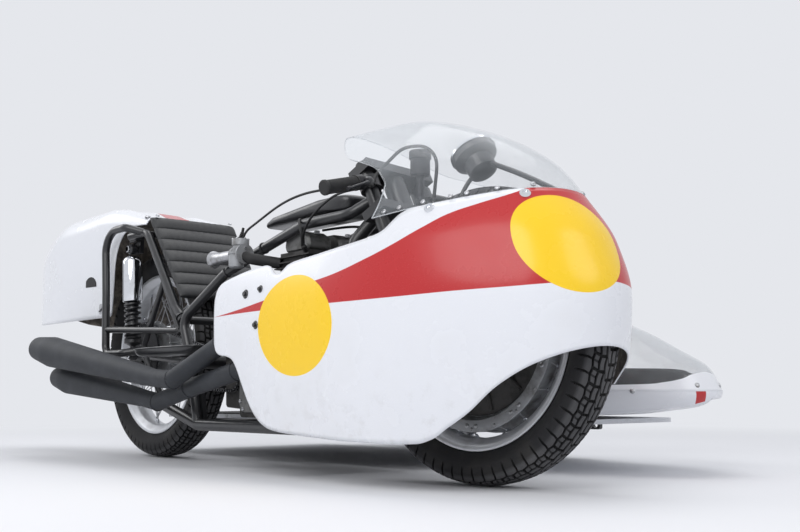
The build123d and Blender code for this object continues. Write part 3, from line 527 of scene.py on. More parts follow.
def dark_steel():
    f = Finish("dark_steel")
    grain, rub = f.noise(380, 3, 0.6), f.step(f.noise(120, 4, 0.6), 0.58, 0.74)
    tint = f.mix(rub * 0.6, srgb(46, 46, 49), srgb(112, 112, 114))
    return f.surface(tint, metal=0.7, rough=0.42 + grain * 0.2 - rub * 0.1, bump=(grain, 0.0003, 0.3))


def sheet_edge():
    """The sawn and dressed edge of clear sheet, cloudy white."""
    f = Finish("sheet_edge")
    saw = f.noise(900, 2, 0.5)
    tint = f.mix(saw, srgb(214, 219, 224), srgb(236, 239, 242))
    return f.surface(tint, rough=0.4 + saw * 0.2)


def ribbed_vinyl():
    """Black leathercloth with a fine pebbled grain, duller where it is worn and folded."""
    f = Finish("ribbed_vinyl")
    pebble = f.node("ShaderNodeTexVoronoi", {"feature": "DISTANCE_TO_EDGE"}, Vector=f.here, Scale=620.0)
    worn, fold = f.step(f.noise(14, 4), 0.45, 0.75), f.noise(90, 3, 0.6, (1, 1, 2))
    tint = f.mix(worn * 0.5, srgb(34, 35, 37), srgb(58, 58, 59))
    height = pebble * 1.6 + fold * 0.8
    return f.surface(tint, rough=0.44 + worn * 0.16 + fold * 0.1, bump=(height, 0.0005, 0.45))


def deck_plate():
    """Sheet alloy with raised small squares set on their corners, and its front strip painted white."""
    f = Finish("deck_plate")
    bars = f.math("SINE", f.x * 250 + f.y * 250) * f.math("SINE", f.x * 250 - f.y * 250)
    raised = f.step(bars, 0.35, 0.6)
    grime = f.step(f.noise(12, 5, 0.6), 0.45, 0.75)
    tint = f.mix(grime * 0.5, srgb(158, 160, 163), srgb(104, 102, 99))
    front = f.step(f.x, 0.53, 0.54)
    tint = f.mix(front, tint, srgb(226, 228, 232))
    rough = 0.38 + grime * 0.22 - raised * 0.1
    return f.surface(tint, metal=0.8 - front * 0.8, rough=rough, bump=(raised, 0.0012, 0.7))


def dial_black():
    f = Finish("dial_black")
    fine = f.noise(500, 2)
    tint = f.mix(fine * 0.4, srgb(14, 14, 15), srgb(30, 30, 32))
    return f.surface(tint, rough=0.5 + fine * 0.2)


# ------------------------------------------------------------------ streamlined forms
# rows of height, half width behind, x of the widest place, half width there, nose x and nose radius
NOSE_ROWS = np.array((
    (80, 262, 1250, 268, 1740, 175), (250, 280, 1250, 292, 1773, 185), (390, 285, 1230, 300, 1787, 190),
    (500, 275, 1230, 286, 1757, 180), (600, 225, 1230, 235, 1690, 150), (670, 190, 1200, 203, 1632, 125),
    (730, 155, 1150, 165, 1545, 100), (785, 105, 1100, 115, 1425, 70), (830, 52, 1050, 60, 1275, 38),
    (846, 14, 1000, 18, 1120, 11)), float)
TUB_ROWS = np.array((
    (130, 238, 1080, 238, 1530, 112), (160, 258, 1080, 258, 1592, 128), (200, 262, 1080, 262, 1618, 132),
    (255, 262, 1080, 262, 1606, 128)), float)
DOME_ROWS = np.array((
    (200, 263, 1080, 263, 1619, 132), (256, 260, 1080, 260, 1588, 112), (310, 236, 1060, 236, 1496, 92),
    (360, 198, 1050, 198, 1398, 72), (400, 140, 1040, 140, 1290, 48), (425, 62, 1030, 62, 1150, 22)), float)
# x and height of the tub's lower edge on each side
TUB_LOW_RIGHT = np.array(((1000, 138), (1300, 139), (1406, 143), (1496, 152), (1567, 161), (1588, 167),
                          (1601, 173), (1610, 179), (1616, 184)), float)
TUB_LOW_LEFT = np.array(((1000, 138), (1223, 144), (1304, 150), (1376, 156), (1431, 163), (1486, 171),
                         (1532, 178), (1580, 182), (1616, 184)), float)
# distance round from the tip, below zero to the right: heights of the coaming's top and of the dome's paint
COAMING_TOP = np.array(((-900, 256), (-232, 256), (-143, 255), (-104, 254), (-60, 250), (-40, 241), (0, 235),
                        (150, 237), (260, 252), (900, 256)), float)
DOME_PAINT = ((0.0, 0.247), (0.04, 0.2415), (0.082, 0.229), (0.129, 0.221), (0.173, 0.217), (0.9, 0.217))
TAIL_ROWS = np.array((  # x, half width, low edge, top, corner radius
    (-860, 40, 490, 620, 30), (-800, 95, 465, 680, 60), (-650, 150, 446, 755, 80), (-400, 185, 440, 800, 75),
    (-140, 178, 440, 800, 60), (128, 150, 440, 745, 40)), float)


TIP_ENDS, FLANK_ENDS = 0.22, 0.58  # where the nose arc and the wide arc end, as shares from the nose back


def over(table, x):
    """The second column of a table, as a smooth curve over the first."""
    return through(x, table[:, 0], table[:, 1])


def level(rows, z, s, back_x, start_x):
    """Level outline of a streamlined form at height z: s runs from -1 at the right rear edge through 0
    at the nose to 1 at the left one. A straight side meets a wide arc that is tangent to the nose arc."""
    back, wide_x, half, tip, small = np.moveaxis(through(z, rows[:, 0], rows[:, 1:]), -1, 0)
    small = np.minimum(small, half * 0.98)
    run = np.maximum(tip - small - wide_x, 1.0)
    big = (run ** 2 + half ** 2 - small ** 2) / (2 * (half - small))
    lean = np.arctan2(big - half, run)
    t, side = np.abs(s), np.where(s < 0, -1.0, 1.0)
    a = lean * np.clip(t / TIP_ENDS, 0, 1)
    b = lean + (pi / 2 - lean) * np.clip((t - TIP_ENDS) / (FLANK_ENDS - TIP_ENDS), 0, 1)
    c = np.clip((t - FLANK_ENDS) / (1 - FLANK_ENDS), 0, 1)
    line_x = wide_x + (start_x - wide_x) * c
    line_y = half + (back - half) * (line_x - wide_x) / (back_x - wide_x)
    tip_arc, wide_arc = t < TIP_ENDS, t < FLANK_ENDS
    x = np.where(wide_arc, wide_x + big * np.cos(b), line_x)
    y = np.where(wide_arc, half - big + big * np.sin(b), line_y)
    x, y = np.where(tip_arc, tip - small + small * np.cos(a), x), np.where(tip_arc, small * np.sin(a), y)
    return np.stack((x, side * y, np.broadcast_to(z, x.shape)), axis=-1)


def meet(rows, s, edge, back_x, start_x, guess):
    """Height at which a form's outline crosses an edge given as a height over x: the two are met in turn."""
    z = np.full(s.shape, float(guess))
    for _ in range(60):
        z = 0.6 * z + 0.4 * edge(level(rows, z, s, back_x, start_x)[..., 0])
    return z


def panel(rows, low, high, s, count, back_x, start_x):
    """A skin between two edges: at each s the heights between the edges are shared out evenly."""
    share = np.linspace(0, 1, count)[:, None]
    z = low[None] * (1 - share) + high[None] * share
    return level(rows, z, np.broadcast_to(s, z.shape), back_x, start_x)


def arc_length(points):
    """Length along each row of a grid from its middle column, to the right below zero."""
    step = np.linalg.norm(np.diff(points, axis=1), axis=2)
    run = np.concatenate((np.zeros((len(points), 1)), np.cumsum(step, axis=1)), axis=1)
    return run - run[:, run.shape[1] // 2][:, None]


LOW_EDGE = np.array((  # x and height of the fairing's lower edge
    (780, 318), (784, 306), (792, 297), (806, 291), (830, 288), (852, 284), (868, 276), (884, 258),
    (908, 215),
    (928, 178), (944, 155), (960, 139), (980, 126), (1012, 115), (1060, 109), (1162, 103), (1300, 97),
    (1420, 95), (1480, 97), (1515, 107), (1545, 127), (1590, 158), (1642, 206), (1690, 240), (1730, 262),
    (1766, 280), (1800, 296)), float)
TOP_EDGE = np.array((  # x and height of its upper edge
    (780, 428), (783, 442), (790, 454), (802, 464), (820, 471), (850, 477), (906, 486), (960, 492),
    (1004, 494),
    (1022, 491), (1036, 481), (1047, 472), (1058, 469), (1072, 470), (1086, 477), (1102, 486),
    (1125, 491),
    (1230, 500), (1343, 514), (1385, 523), (1404, 533), (1415, 550), (1428, 567), (1450, 576), (1500, 582),
    (1690, 606), (1800, 620)), float)
REAR_EDGE = np.array((  # height, x of the screen's rear edge
    (560, 1352), (600, 1352), (640, 1348), (665, 1325), (692, 1288), (715, 1232), (738, 1166), (762, 1122),
    (785, 1088), (815, 1046), (835, 1016), (847, 996)), float)


SCREEN_CROWN = 846


def seat(x):
    """Height of the screen's seat on the fairing, a straight line over x."""
    return 563 + (x - 1350) * (43 / 340)


# heights of the band's two edges over x, and the ovals, in metres of the frame
BAND_LOW = ((0.3165, 0.3855), (0.4915, 0.388), (0.7065, 0.387), (0.9065, 0.387), (1.1265, 0.394),
            (1.2365, 0.399), (1.3065, 0.407), (1.3265, 0.413))
BAND_HIGH = ((0.3165, 0.3855), (0.4205, 0.395), (0.5215, 0.407), (0.6205, 0.420), (0.7205, 0.435),
             (0.812, 0.447), (0.8965, 0.469), (0.9695, 0.496), (1.0285, 0.527), (1.0775, 0.555),
             (1.1285, 0.573), (1.1765, 0.590), (1.2165, 0.620), (1.3265, 0.640))
SIDE_OVAL = (0.6735, 0.347, 0.147, 0.112, 0.0)      # middle along, middle height, half sizes, slope
FRONT_OVAL = (-0.061, 0.486, 0.124, 0.101, 0.115)
FAIRING_BOLTS = ((932, 432, 0.011), (998, 439, 0.009), (981, 356, 0.010))  # x, height, radius
FAIRING_RINGS = ((1492, 571), (1660, 589))
SCREEN_SCREWS = (1380, 1416, 1470, 1525, 1557, 1610, 1660)
TAIL_FASTENERS = ((110, -135), (110, 60), (-20, 150), (-20, -150))
TAIL_CUT = np.array(((-62, 440), (-50, 447), (-44, 500), (-41, 560), (-39, 600), (-25, 655), (10, 700),
                     (60, 718), (128, 718)), float)


def oval_mask(f, along, height, oval):
    """1 inside an oval that leans by a slope, where the squares of both shares add up to less than 1."""
    middle, level_z, half, tall, slope = oval
    u, v = along - middle, height - level_z
    a, b = (u + v * slope) / half, (v - u * slope) / tall
    return f.step(1 - (a * a + b * b), -0.008, 0.008)


def fairing_paint(colours):
    """White with a band that sweeps up from a point on the side to the whole nose, and two bare ovals."""
    f = Finish("fairing_paint")
    low = f.curve(f.x, BAND_LOW)
    high = f.curve(f.x, BAND_HIGH)
    band = f.step(f.z - low, -0.0006, 0.0006) * f.step(high - f.z, -0.0006, 0.0006)
    wrap = f.node("ShaderNodeAttribute", {"attribute_name": "wrap"}, out="Fac")
    right = f.step(0 - f.y, 0.364, 0.366)
    side = oval_mask(f, f.x, f.z, SIDE_OVAL) * right
    oval = f.math("MAXIMUM", side, oval_mask(f, wrap, f.z, FRONT_OVAL))
    grime = f.step(f.noise(7, 5, 0.6), 0.48, 0.8)
    low_dirt = f.step(0.32 - f.z, 0.0, 0.26) * f.step(f.noise(30, 5, 0.65), 0.5, 0.7)
    tint = f.mix(grime * 0.2, colours.white, srgb(214, 214, 213))
    tint = f.mix(band, tint, colours.red)
    tint = f.mix(oval, tint, colours.yellow)
    tint = f.mix(low_dirt * 0.18, tint, srgb(150, 145, 138))
    swirl = f.step(f.noise(240, 2, 0.5, (1, 1, 5)), 0.62, 0.72)
    return f.surface(tint, rough=0.27 + grime * 0.1 + swirl * 0.05, Coat_Weight=0.08,
                     Coat_Roughness=0.08, Specular_IOR_Level=0.4, bump=(f.noise(26, 2), 0.0012, 0.1))


def raw_laminate():
    """The rough inner face of a moulding: mottled resin over woven cloth."""
    f = Finish("raw_laminate")
    mottle, weave = f.step(f.noise(38, 5, 0.65), 0.4, 0.66), f.noise(320, 2, 0.6)
    tint = f.mix(mottle, srgb(66, 60, 54), srgb(112, 104, 95))
    return f.surface(tint, rough=0.62 + weave * 0.2, bump=(weave, 0.0012, 0.8))


def tail_paint(colours):
    """White, with a band that crosses the deck at a slant."""
    f = Finish("tail_paint")
    middle = (f.x + 0.3355) * -0.30 - 0.4015
    band = f.step(0.0375 - abs(f.y - middle), -0.0006, 0.0006) * f.step(f.z, 0.712, 0.716)
    grime = f.step(f.noise(8, 5, 0.6), 0.48, 0.8)
    tint = f.mix(grime * 0.2, colours.white, srgb(212, 212, 211))
    tint = f.mix(band, tint, colours.red)
    return f.surface(tint, rough=0.24 + grime * 0.1, Coat_Weight=0.1, Coat_Roughness=0.08,
                     Specular_IOR_Level=0.4, bump=(f.noise(24, 2), 0.0012, 0.1))


def nose_paint(colours):
    """White, with a short band near the tip that leans a little."""
    f = Finish("nose_paint")
    wrap = 0 - f.node("ShaderNodeAttribute", {"attribute_name": "wrap"}, out="Fac")
    off = abs(wrap - 0.0445 + (0.2 - f.z) * 0.22)
    band = f.step(0.0145 - off, -0.0005, 0.0005) * f.step(0.2 - f.z, 0, 0.0008)
    grime = f.step(f.noise(9, 5, 0.6), 0.46, 0.78)
    tint = f.mix(grime * 0.25, colours.white, srgb(208, 207, 204))
    tint = f.mix(band, tint, colours.red)
    return f.surface(tint, rough=0.26 + grime * 0.12, Coat_Weight=0.1, Coat_Roughness=0.08,
                     Specular_IOR_Level=0.4, bump=(f.noise(24, 2), 0.0012, 0.12))


def dome_sheet(colours):
    """Clear sheet whose foot is painted white on its inside, up to a line that rises to the tip."""
    f = Finish("dome_sheet")
    wrap = abs(f.node("ShaderNodeAttribute", {"attribute_name": "wrap"}, out="Fac"))
    paint = f.step(f.curve(wrap, DOME_PAINT) - f.z, -0.0006, 0.0006)
    edge = f.node("ShaderNodeLayerWeight", Blend=0.5, out="Facing")
    haze = f.step(f.noise(12, 4, 0.6), 0.42, 0.7)
    clear = 0.05 + edge * edge * 0.4 + haze * 0.05
    return f.surface(f.mix(paint, srgb(226, 232, 238), colours.white),
                     rough=0.07 + paint * 0.15, Alpha=f.math("MAXIMUM", clear, paint))


# ------------------------------------------------------------------ sizes and colours a user may change
class SidecarSizes(bpy.types.PropertyGroup):
    """Sizes of the dressed surfaces."""
    skin: FloatProperty(name="Panel thickness", description="Wall of the moulded panels",
                        default=0.0035, unit="LENGTH")
    sheet: FloatProperty(name="Screen thickness", description="Wall of the clear screens",
                         default=0.003, unit="LENGTH")
    pitches: IntProperty(name="Tread pitches", description="Lugs round each tyre", default=66)
    tread: FloatProperty(name="Tread depth", description="Depth of the tread's grooves",
                         default=0.007, unit="LENGTH")
    spokes: IntProperty(name="Spokes", description="Wire spokes in each wheel", default=40)
    ribs: IntProperty(name="Pad ribs", description="Sewn ribs down the back pad", default=7)
    coils: IntProperty(name="Spring turns", description="Turns of each rear spring", default=9)
    bead: FloatProperty(name="Weld bead", description="Radius of the beads on the exhausts",
                        default=0.0015, unit="LENGTH")


class SidecarColours(bpy.types.PropertyGroup):
    """Paint colours of the panels."""
    white: FloatVectorProperty(name="White", description="Main colour of the panels", subtype="COLOR",
                               size=3, default=srgb(229, 231, 236)[:3])
    red: FloatVectorProperty(name="Red", description="Colour of the bands", subtype="COLOR",
                             size=3, default=srgb(186, 44, 46)[:3])
    yellow: FloatVectorProperty(name="Yellow", description="Colour of the bare ovals", subtype="COLOR",
                                size=3, default=srgb(248, 205, 36)[:3])


MADE = {}


def use(maker):
    """The finish of this name, made the first time that it is asked for."""
    if maker.__name__ not in MADE:
        MADE[maker.__name__] = maker()
    return MADE[maker.__name__]


def steel(name, parts, body="chassis"):
    """Small bright parts in one piece."""
    piece(name, parts, use(bright_steel), body)


def rubber(name, parts, body="chassis"):
    """Soft black parts in one piece."""
    piece(name, parts, use(soft_rubber), body)


def enamel(name, parts, replaces=(), crease=35):
    """Black enamelled parts in one piece."""
    piece(name, parts, use(black_enamel), "chassis", replaces, crease)


# ------------------------------------------------------------------ places on the streamlined forms
NOSE_BACK = 770     # x at which the nose form's half width behind is given
PANEL_BACK = 780    # x of the fairing's and of the screen's rear ends
SCREEN_BACK = 900
TUB_Y = 600         # middle of the sidecar's nose, and the rear ends of its tub and dome
TUB_BACK = 1000
DOME_BACK = TUB_BACK + 20


def on_form(rows, x, z, side, back_x, start_x, mid_y=0):
    """Point of a streamlined form at x and height z on one side, and the way out of the surface there."""
    count = 600
    s = np.linspace(0, side, count)
    line = level(rows, np.full(s.shape, float(z)), s, back_x, start_x)
    k = np.clip(np.searchsorted(-line[:, 0], -x), 1, count - 2)
    above = level(rows, np.full(s.shape, z + 4.0), s, back_x, start_x)
    along, up = line[k + 1] - line[k - 1], above[k] - line[k]
    out = unit(np.cross(along, up))
    out = out if out[1] * side > 0 or abs(out[1]) < 0.05 and out[0] > 0 else -out
    return at(line[k] + (0, mid_y, 0)), out


class Build(bpy.types.Operator):
    """Shared words of the building steps."""
    bl_options = {"REGISTER"}

    def execute(self, context):
        self.make(context.scene.sidecar_sizes, context.scene.sidecar_colours)
        return {"FINISHED"}


# ------------------------------------------------------------------ fairing and screen
def fairing_edge(x, s):
    """Height of the lower edge over x: on the left it stays at the platform's height until the nose."""
    low = over(LOW_EDGE, x)
    raised = low + (np.maximum(low, 300) - low) * np.clip((1650 - x) / 60, 0, 1)
    return np.where(s > 0, raised, low)


class SIDECAR_OT_fairing(Build):
    """Nose panel: level outlines of two arcs and a straight side, stacked between two edge curves"""
    bl_idname = "sidecar.fairing"
    bl_label = "Fairing"

    def make(self, sizes, colours):
        s = np.linspace(-1, 1, 341)
        low = meet(NOSE_ROWS, s, lambda x: fairing_edge(x, s), NOSE_BACK, PANEL_BACK, 250)
        high = meet(NOSE_ROWS, s, lambda x: over(TOP_EDGE, x), NOSE_BACK, PANEL_BACK, 500)
        grid = at(panel(NOSE_ROWS, low, high, s, 40, NOSE_BACK, PANEL_BACK))
        paint = fairing_paint(colours)
        piece("fairing_skin", grid, [paint, use(raw_laminate)], "chassis", ["front_fairing"],
              wall=sizes.skin, attribute=("wrap", [arc_length(grid)]), flip=True)
        heads = []
        for x, z, size in FAIRING_BOLTS:
            for side in (-1, 1):
                spot, out = on_form(NOSE_ROWS, x, z, side, NOSE_BACK, PANEL_BACK)
                heads.append(lathe(((size, -0.004), (size, 0.001), (size * 0.8, 0.003), (0, 0.0034)),
                                   spot, out, 18))
                heads.append(hexagon(spot + out * 0.003, out, size * 0.55, 0.004))
        piece("fairing_bolts", heads, use(black_enamel), "chassis")
        rings = []
        for x, z in FAIRING_RINGS:
            spot, out = on_form(NOSE_ROWS, x, z, -1, NOSE_BACK, PANEL_BACK)
            rings.append(lathe(((0.0, 0.0015), (0.005, 0.0015), (0.006, 0.004), (0.0095, 0.004),
                                (0.0115, 0.002), (0.0115, -0.003)), spot, out, 26))
        piece("fairing_rings", rings, use(chrome), "chassis")


class SIDECAR_OT_screen(Build):
    """Clear screen: the nose's outlines carried on from the seat to the crown, cut by the rear edge"""
    bl_idname = "sidecar.screen"
    bl_label = "Screen"

    def make(self, sizes, colours):
        heights, spread = np.linspace(560, SCREEN_CROWN, 144), np.linspace(0, 1, 500)
        lines = level(NOSE_ROWS, heights[:, None], np.broadcast_to(spread, (144, 500)), NOSE_BACK,
                      SCREEN_BACK)[..., 0]
        rear = over(REAR_EDGE, heights)
        reach = np.array([np.interp(-edge, -line, spread) for edge, line in zip(rear, lines)])
        share = 1 - (1 - np.linspace(0, 1, 64)[:, None]) ** 1.7
        turn = np.linspace(-1, 1, 141)[None]
        z = 563 + (SCREEN_CROWN - 563) * share + 0 * turn
        for _ in range(50):
            s = turn * np.interp(z, heights, reach)
            grid = level(NOSE_ROWS, z, s, NOSE_BACK, SCREEN_BACK)
            z = 0.5 * z + 0.5 * ((seat(grid[..., 0]) + 1) * (1 - share) + SCREEN_CROWN * share)
        crown = grid[-1:] * (1, 0, 1) + (0, 0, 1)
        grid = at(np.concatenate((grid, crown)))
        piece("screen_sheet", grid, [use(clear_sheet), use(sheet_edge)], "chassis", ["windscreen"],
              wall=sizes.sheet, flip=True, rim_only=True)
        heads = []
        for x in SCREEN_SCREWS:
            for side in (-1, 1):
                spot, out = on_form(NOSE_ROWS, x, seat(x) + 9, side, NOSE_BACK, SCREEN_BACK)
                heads.append(screw(spot, out, 0.0055, 0.0028))
        steel("screen_screws", heads)


# ------------------------------------------------------------------ tail
def tail_section(x, count):
    """Cross sections of the tail: a flat top, round corners cut off at the low edge, and upright sides."""
    half, low, top, corner = through(x, TAIL_ROWS[:, 0], TAIL_ROWS[:, 1:]).T[..., None]
    cut = over(TAIL_CUT, x)[:, None]
    low = np.where(x[:, None] > TAIL_CUT[0, 0], cut, low)
    t = np.linspace(-1, 1, count)[None]
    u, side = np.abs(t), np.sign(t)
    last = np.arccos(np.clip((low - top + corner) / corner, 0, 1))
    phi = last * np.clip((u - 0.35) / 0.3, 0, 1)
    y = np.where(u < 0.35, (half - corner) * u / 0.35, half - corner + corner * np.sin(phi))
    foot = top - corner + corner * np.cos(last)
    z = np.where(u < 0.65, top - corner + corner * np.cos(phi), foot + (low - foot) * (u - 0.65) / 0.35)
    sag = 6 * (u / 0.35) ** 2 * (u < 0.35)
    return np.stack((np.broadcast_to(x[:, None], z.shape), side * y, z - sag), axis=-1)


class SIDECAR_OT_tail(Build):
    """Tail: cross sections with a flat top, round corners and upright sides, carried along smooth curves"""
    bl_idname = "sidecar.tail"
    bl_label = "Tail"

    def make(self, sizes, colours):
        x = np.concatenate((np.linspace(-852, -72, 72), np.linspace(-66, -36, 16), np.linspace(-31, 128, 26)))
        body = tail_section(x, 121)
        mid = np.array((0, 0, 60)) + (0, 0, 1) * body[:1, :1, 2:]
        caps = [(body[:1] - mid) * (0, k, 0.55 + 0.45 * k) + mid + (depth, 0, 0)
                for k, depth in ((0, -860), (0.5, -859), (0.88, -857))]
        grid = at(np.concatenate(caps + [body]))
        piece("tail_skin", grid, [tail_paint(colours), use(raw_laminate)], "chassis",
              ["tail_fairing"], wall=sizes.skin, flip=False)
        steel("tail_fasteners", [screw(at((x, y, 744)), (0, 0, 1), 0.009, 0.005) for x, y in TAIL_FASTENERS])
        flap, vent_shade_plates = [], []
        for side in (-1, 1):
            plate = rounded(((-127, 452), (-89, 452), (-89, 486), (-127, 486)), 6)
            face = side * np.interp(-108, TAIL_ROWS[:, 0], TAIL_ROWS[:, 1])
            flap.append(at(prism(plate, face - 3, face + 3, 1)))
            flap.append(at(pipe(((-122, face + side * 5, 462), (-94, face + side * 5, 476)), 2.5)))
            # A dark rubber arch on each side stands where the vent opening is: its darkness is painted shade
            # of the recess.
            face = side * np.interp(-194, TAIL_ROWS[:, 0], TAIL_ROWS[:, 1])
            a = np.linspace(0, pi, 25)
            arch = np.stack((-194 + 44 * np.cos(a), 545 + 34 * np.sin(a)), -1)
            vent_shade_plates.append(at(prism(np.concatenate((arch, arch[:1])), face - 2, face + 2, 1.5)))
        steel("tail_latches", flap)
        rubber("tail_vent_painted_shade", vent_shade_plates)


# ------------------------------------------------------------------ wheels
REAR_WHEEL_AT = (0, 0, 325)
SIDECAR_WHEEL_AT = (200, 1000, 290)
ACROSS = np.array((0, 1.0, 0))
WHEELS = (  # name, body, stored centre in metres, axle, tyre radius, rim radius, tyre half width
    ("front", "front_wheel", np.array(FRONT_SPIN["pos_m"]), unit(FRONT_SPIN["axis"]), 325, 252, 54),
    ("rear", "rear_wheel", at(REAR_WHEEL_AT), ACROSS, 325, 252, 54),
    ("sidecar", "sidecar_wheel", at(SIDECAR_WHEEL_AT), ACROSS, 290, 212, 50),
)
TYRE_HALF_PROFILE = np.array((  # run from the crown, share of the depth, share of the half width
    (0, 1, 0), (27.2, 0.96, 0.5), (48.1, 0.84, 0.84), (68.2, 0.62, 1.0), (84.8, 0.42, 0.98),
    (114.9, 0.10, 0.72), (124.2, 0.012, 0.611), (134.9, -0.117, 0.592)), float)
TREAD_LINES = np.array((  # run from the crown, rib groove, shoulder groove, cross cut, sideways shift
    (0, 0, 0, 0.3, 0), (5.2, 0, 0, 0.9, 0.5), (6.4, 1, 1, 1, 0.5), (10.6, 1, 1, 1, 0.5), (11.8, 0, 0, 1, 0.7),
    (22.4, 0, 0, 1, 0.7), (23.6, 1, 1, 1, 0.7), (28.4, 1, 1, 1, 0.7), (29.6, 0, 0.2, 1, 0.9),
    (38.6, 0, 0.2, 1, 0.9), (39.8, 1, 1, 1, 0.7), (43.4, 1, 1, 0.6, 0.7), (44.6, 0, 1, 0, 0.9),
    (54, 0, 1, 0, 0), (63, 0, 1, 0, 0), (70, 0, 0.85, 0, 0), (76, 0, 0.5, 0, 0), (81, 0, 0.1, 0, 0))
    + tuple((run, 0, 0, 0, 0) for run in (86, 95, 105, 114.9, 124.2, 134.9)), float)
PITCH_STEPS = np.array((  # share of a pitch, shoulder groove, cross cut, sideways way
    (0.00, 0, 0, -1), (0.03, 1, 0, -1), (0.15, 1, 0, -1), (0.18, 0, 0, -1), (0.46, 0, 0, 1),
    (0.49, 0, 1, 1), (0.66, 0, 1, 1), (0.69, 0, 0, 1)), float)


def ray_from(axle, turn):
    """The way out from an axle at a turn, or at each of many: none is upwards, a quarter is level."""
    side = unit(np.cross(axle, (0, 0, 1)))
    turn = np.asarray(turn)[..., None]
    return side * np.sin(turn) + np.cross(side, axle) * np.cos(turn)


def tyre_grid(centre, axle, outer, rim, half, pitches, depth):
    """A tyre: its half section is carried round the axle, and pressed in along the section's normal
    wherever a rib groove, a slanted shoulder groove or a cross cut passes."""
    lines = np.concatenate((TREAD_LINES[:0:-1] * (-1, 1, 1, 1, 1), TREAD_LINES))
    turn = (np.arange(pitches)[:, None] + PITCH_STEPS[None, :, 0]).ravel() / pitches
    turn = np.append(turn, 1.0) * 2 * pi
    cycle = np.concatenate((np.tile(PITCH_STEPS, (pitches, 1)), PITCH_STEPS[:1]))
    run = lines[None, :, 0] + cycle[:, None, 3] * lines[None, :, 4]
    shares = through(np.abs(run), TYRE_HALF_PROFILE[:, 0], TYRE_HALF_PROFILE[:, 1:])
    radius = rim + (outer - rim) * shares[..., 0]
    wide = np.sign(run) * half * shares[..., 1]
    groove = np.maximum(lines[None, :, 1], cycle[:, None, 1] * lines[None, :, 2])
    groove = np.maximum(groove, 0.9 * cycle[:, None, 2] * lines[None, :, 3])
    lean = np.clip(np.abs(run) / 60, 0, 1)
    sink = depth * 1000 * groove
    radius = radius - sink * np.sqrt(1 - (lean * 0.8) ** 2)
    wide = wide - np.sign(run) * sink * lean * 0.6 * half / 54
    slant = np.clip(np.abs(run) - 22, 0, 34) * 0.34 / outer + (run < 0) * pi / pitches
    way = ray_from(axle, pi / 2 - turn[:, None] - slant)
    grid = centre + way * (radius / 1000)[..., None] + axle * (wide / 1000)[..., None]
    # 1 on the scrubbed lug tops, and -1 in the grooves, where the colour is darkened as painted shade
    worn = (groove < 0.1) * np.clip((62 - np.abs(run)) / 6, 0, 1) - (groove > 0.5)
    inner = centre + way[:, :1] * (rim - 8) / 1000
    return np.concatenate((inner, grid, inner), axis=1), np.pad(worn, ((0, 0), (1, 1)))


def rim_profile(rim):
    """Half section of a flanged rim, outer lip to well and back along the underside."""
    half = np.array(((rim, 38), (rim + 1, 36.4), (rim - 0.5, 33.4), (rim - 9, 32.5), (rim - 11, 27),
                     (rim - 23, 20), (rim - 25, 10), (rim - 25, 0)))
    under = np.array(((rim - 28, 0), (rim - 28, 17), (rim - 24, 24), (rim - 17, 28), (rim - 13, 34),
                      (rim - 7, 37.6), (rim - 2, 38.6), (rim, 38)))
    other = (1, -1)
    return np.concatenate((half, half[::-1] * other, under[::-1] * other, under, half[:1])) / 1000


HUBS = {  # half sections of (radius, width) from one end of the hub to the other
    "front": ((11, 62), (34, 62), (36, 58), (52, 57), (60, 52), (62, 46), (150, 44), (184, 41), (188, 42),
              (211, 42), (213, 41), (213, 38), (211, 37), (190, 37), (184, 32), (182, 0), (184, -32),
              (190, -37), (211, -37), (213, -38), (213, -41), (211, -42), (191, -42), (188, -41), (185, -34),
              (180, -20), (150, -16), (70, -18), (62, -30), (58, -50), (40, -60), (36, -62), (11, -62)),
    "rear": ((11, 70), (34, 70), (40, 66), (88, 64), (95, 60), (95, 46), (105, 43), (105, 38), (66, 33),
             (55, 24), (53, 0), (55, -24), (66, -33), (105, -37), (105, -42), (62, -45), (55, -50),
             (55, -64), (36, -66), (32, -70), (11, -70)),
    "sidecar": ((11, 52), (26, 52), (30, 48), (40, 44), (42, 38), (80, 36), (80, 32), (46, 27), (36, 18),
                (34, 0), (36, -18), (46, -27), (80, -32), (80, -36), (42, -38), (40, -50), (30, -52),
                (11, -52)),
}
FLANGES = {"front": (206, 39, 3), "rear": (100, 39, 9), "sidecar": (75, 33, 9)}  # radius, width, lean


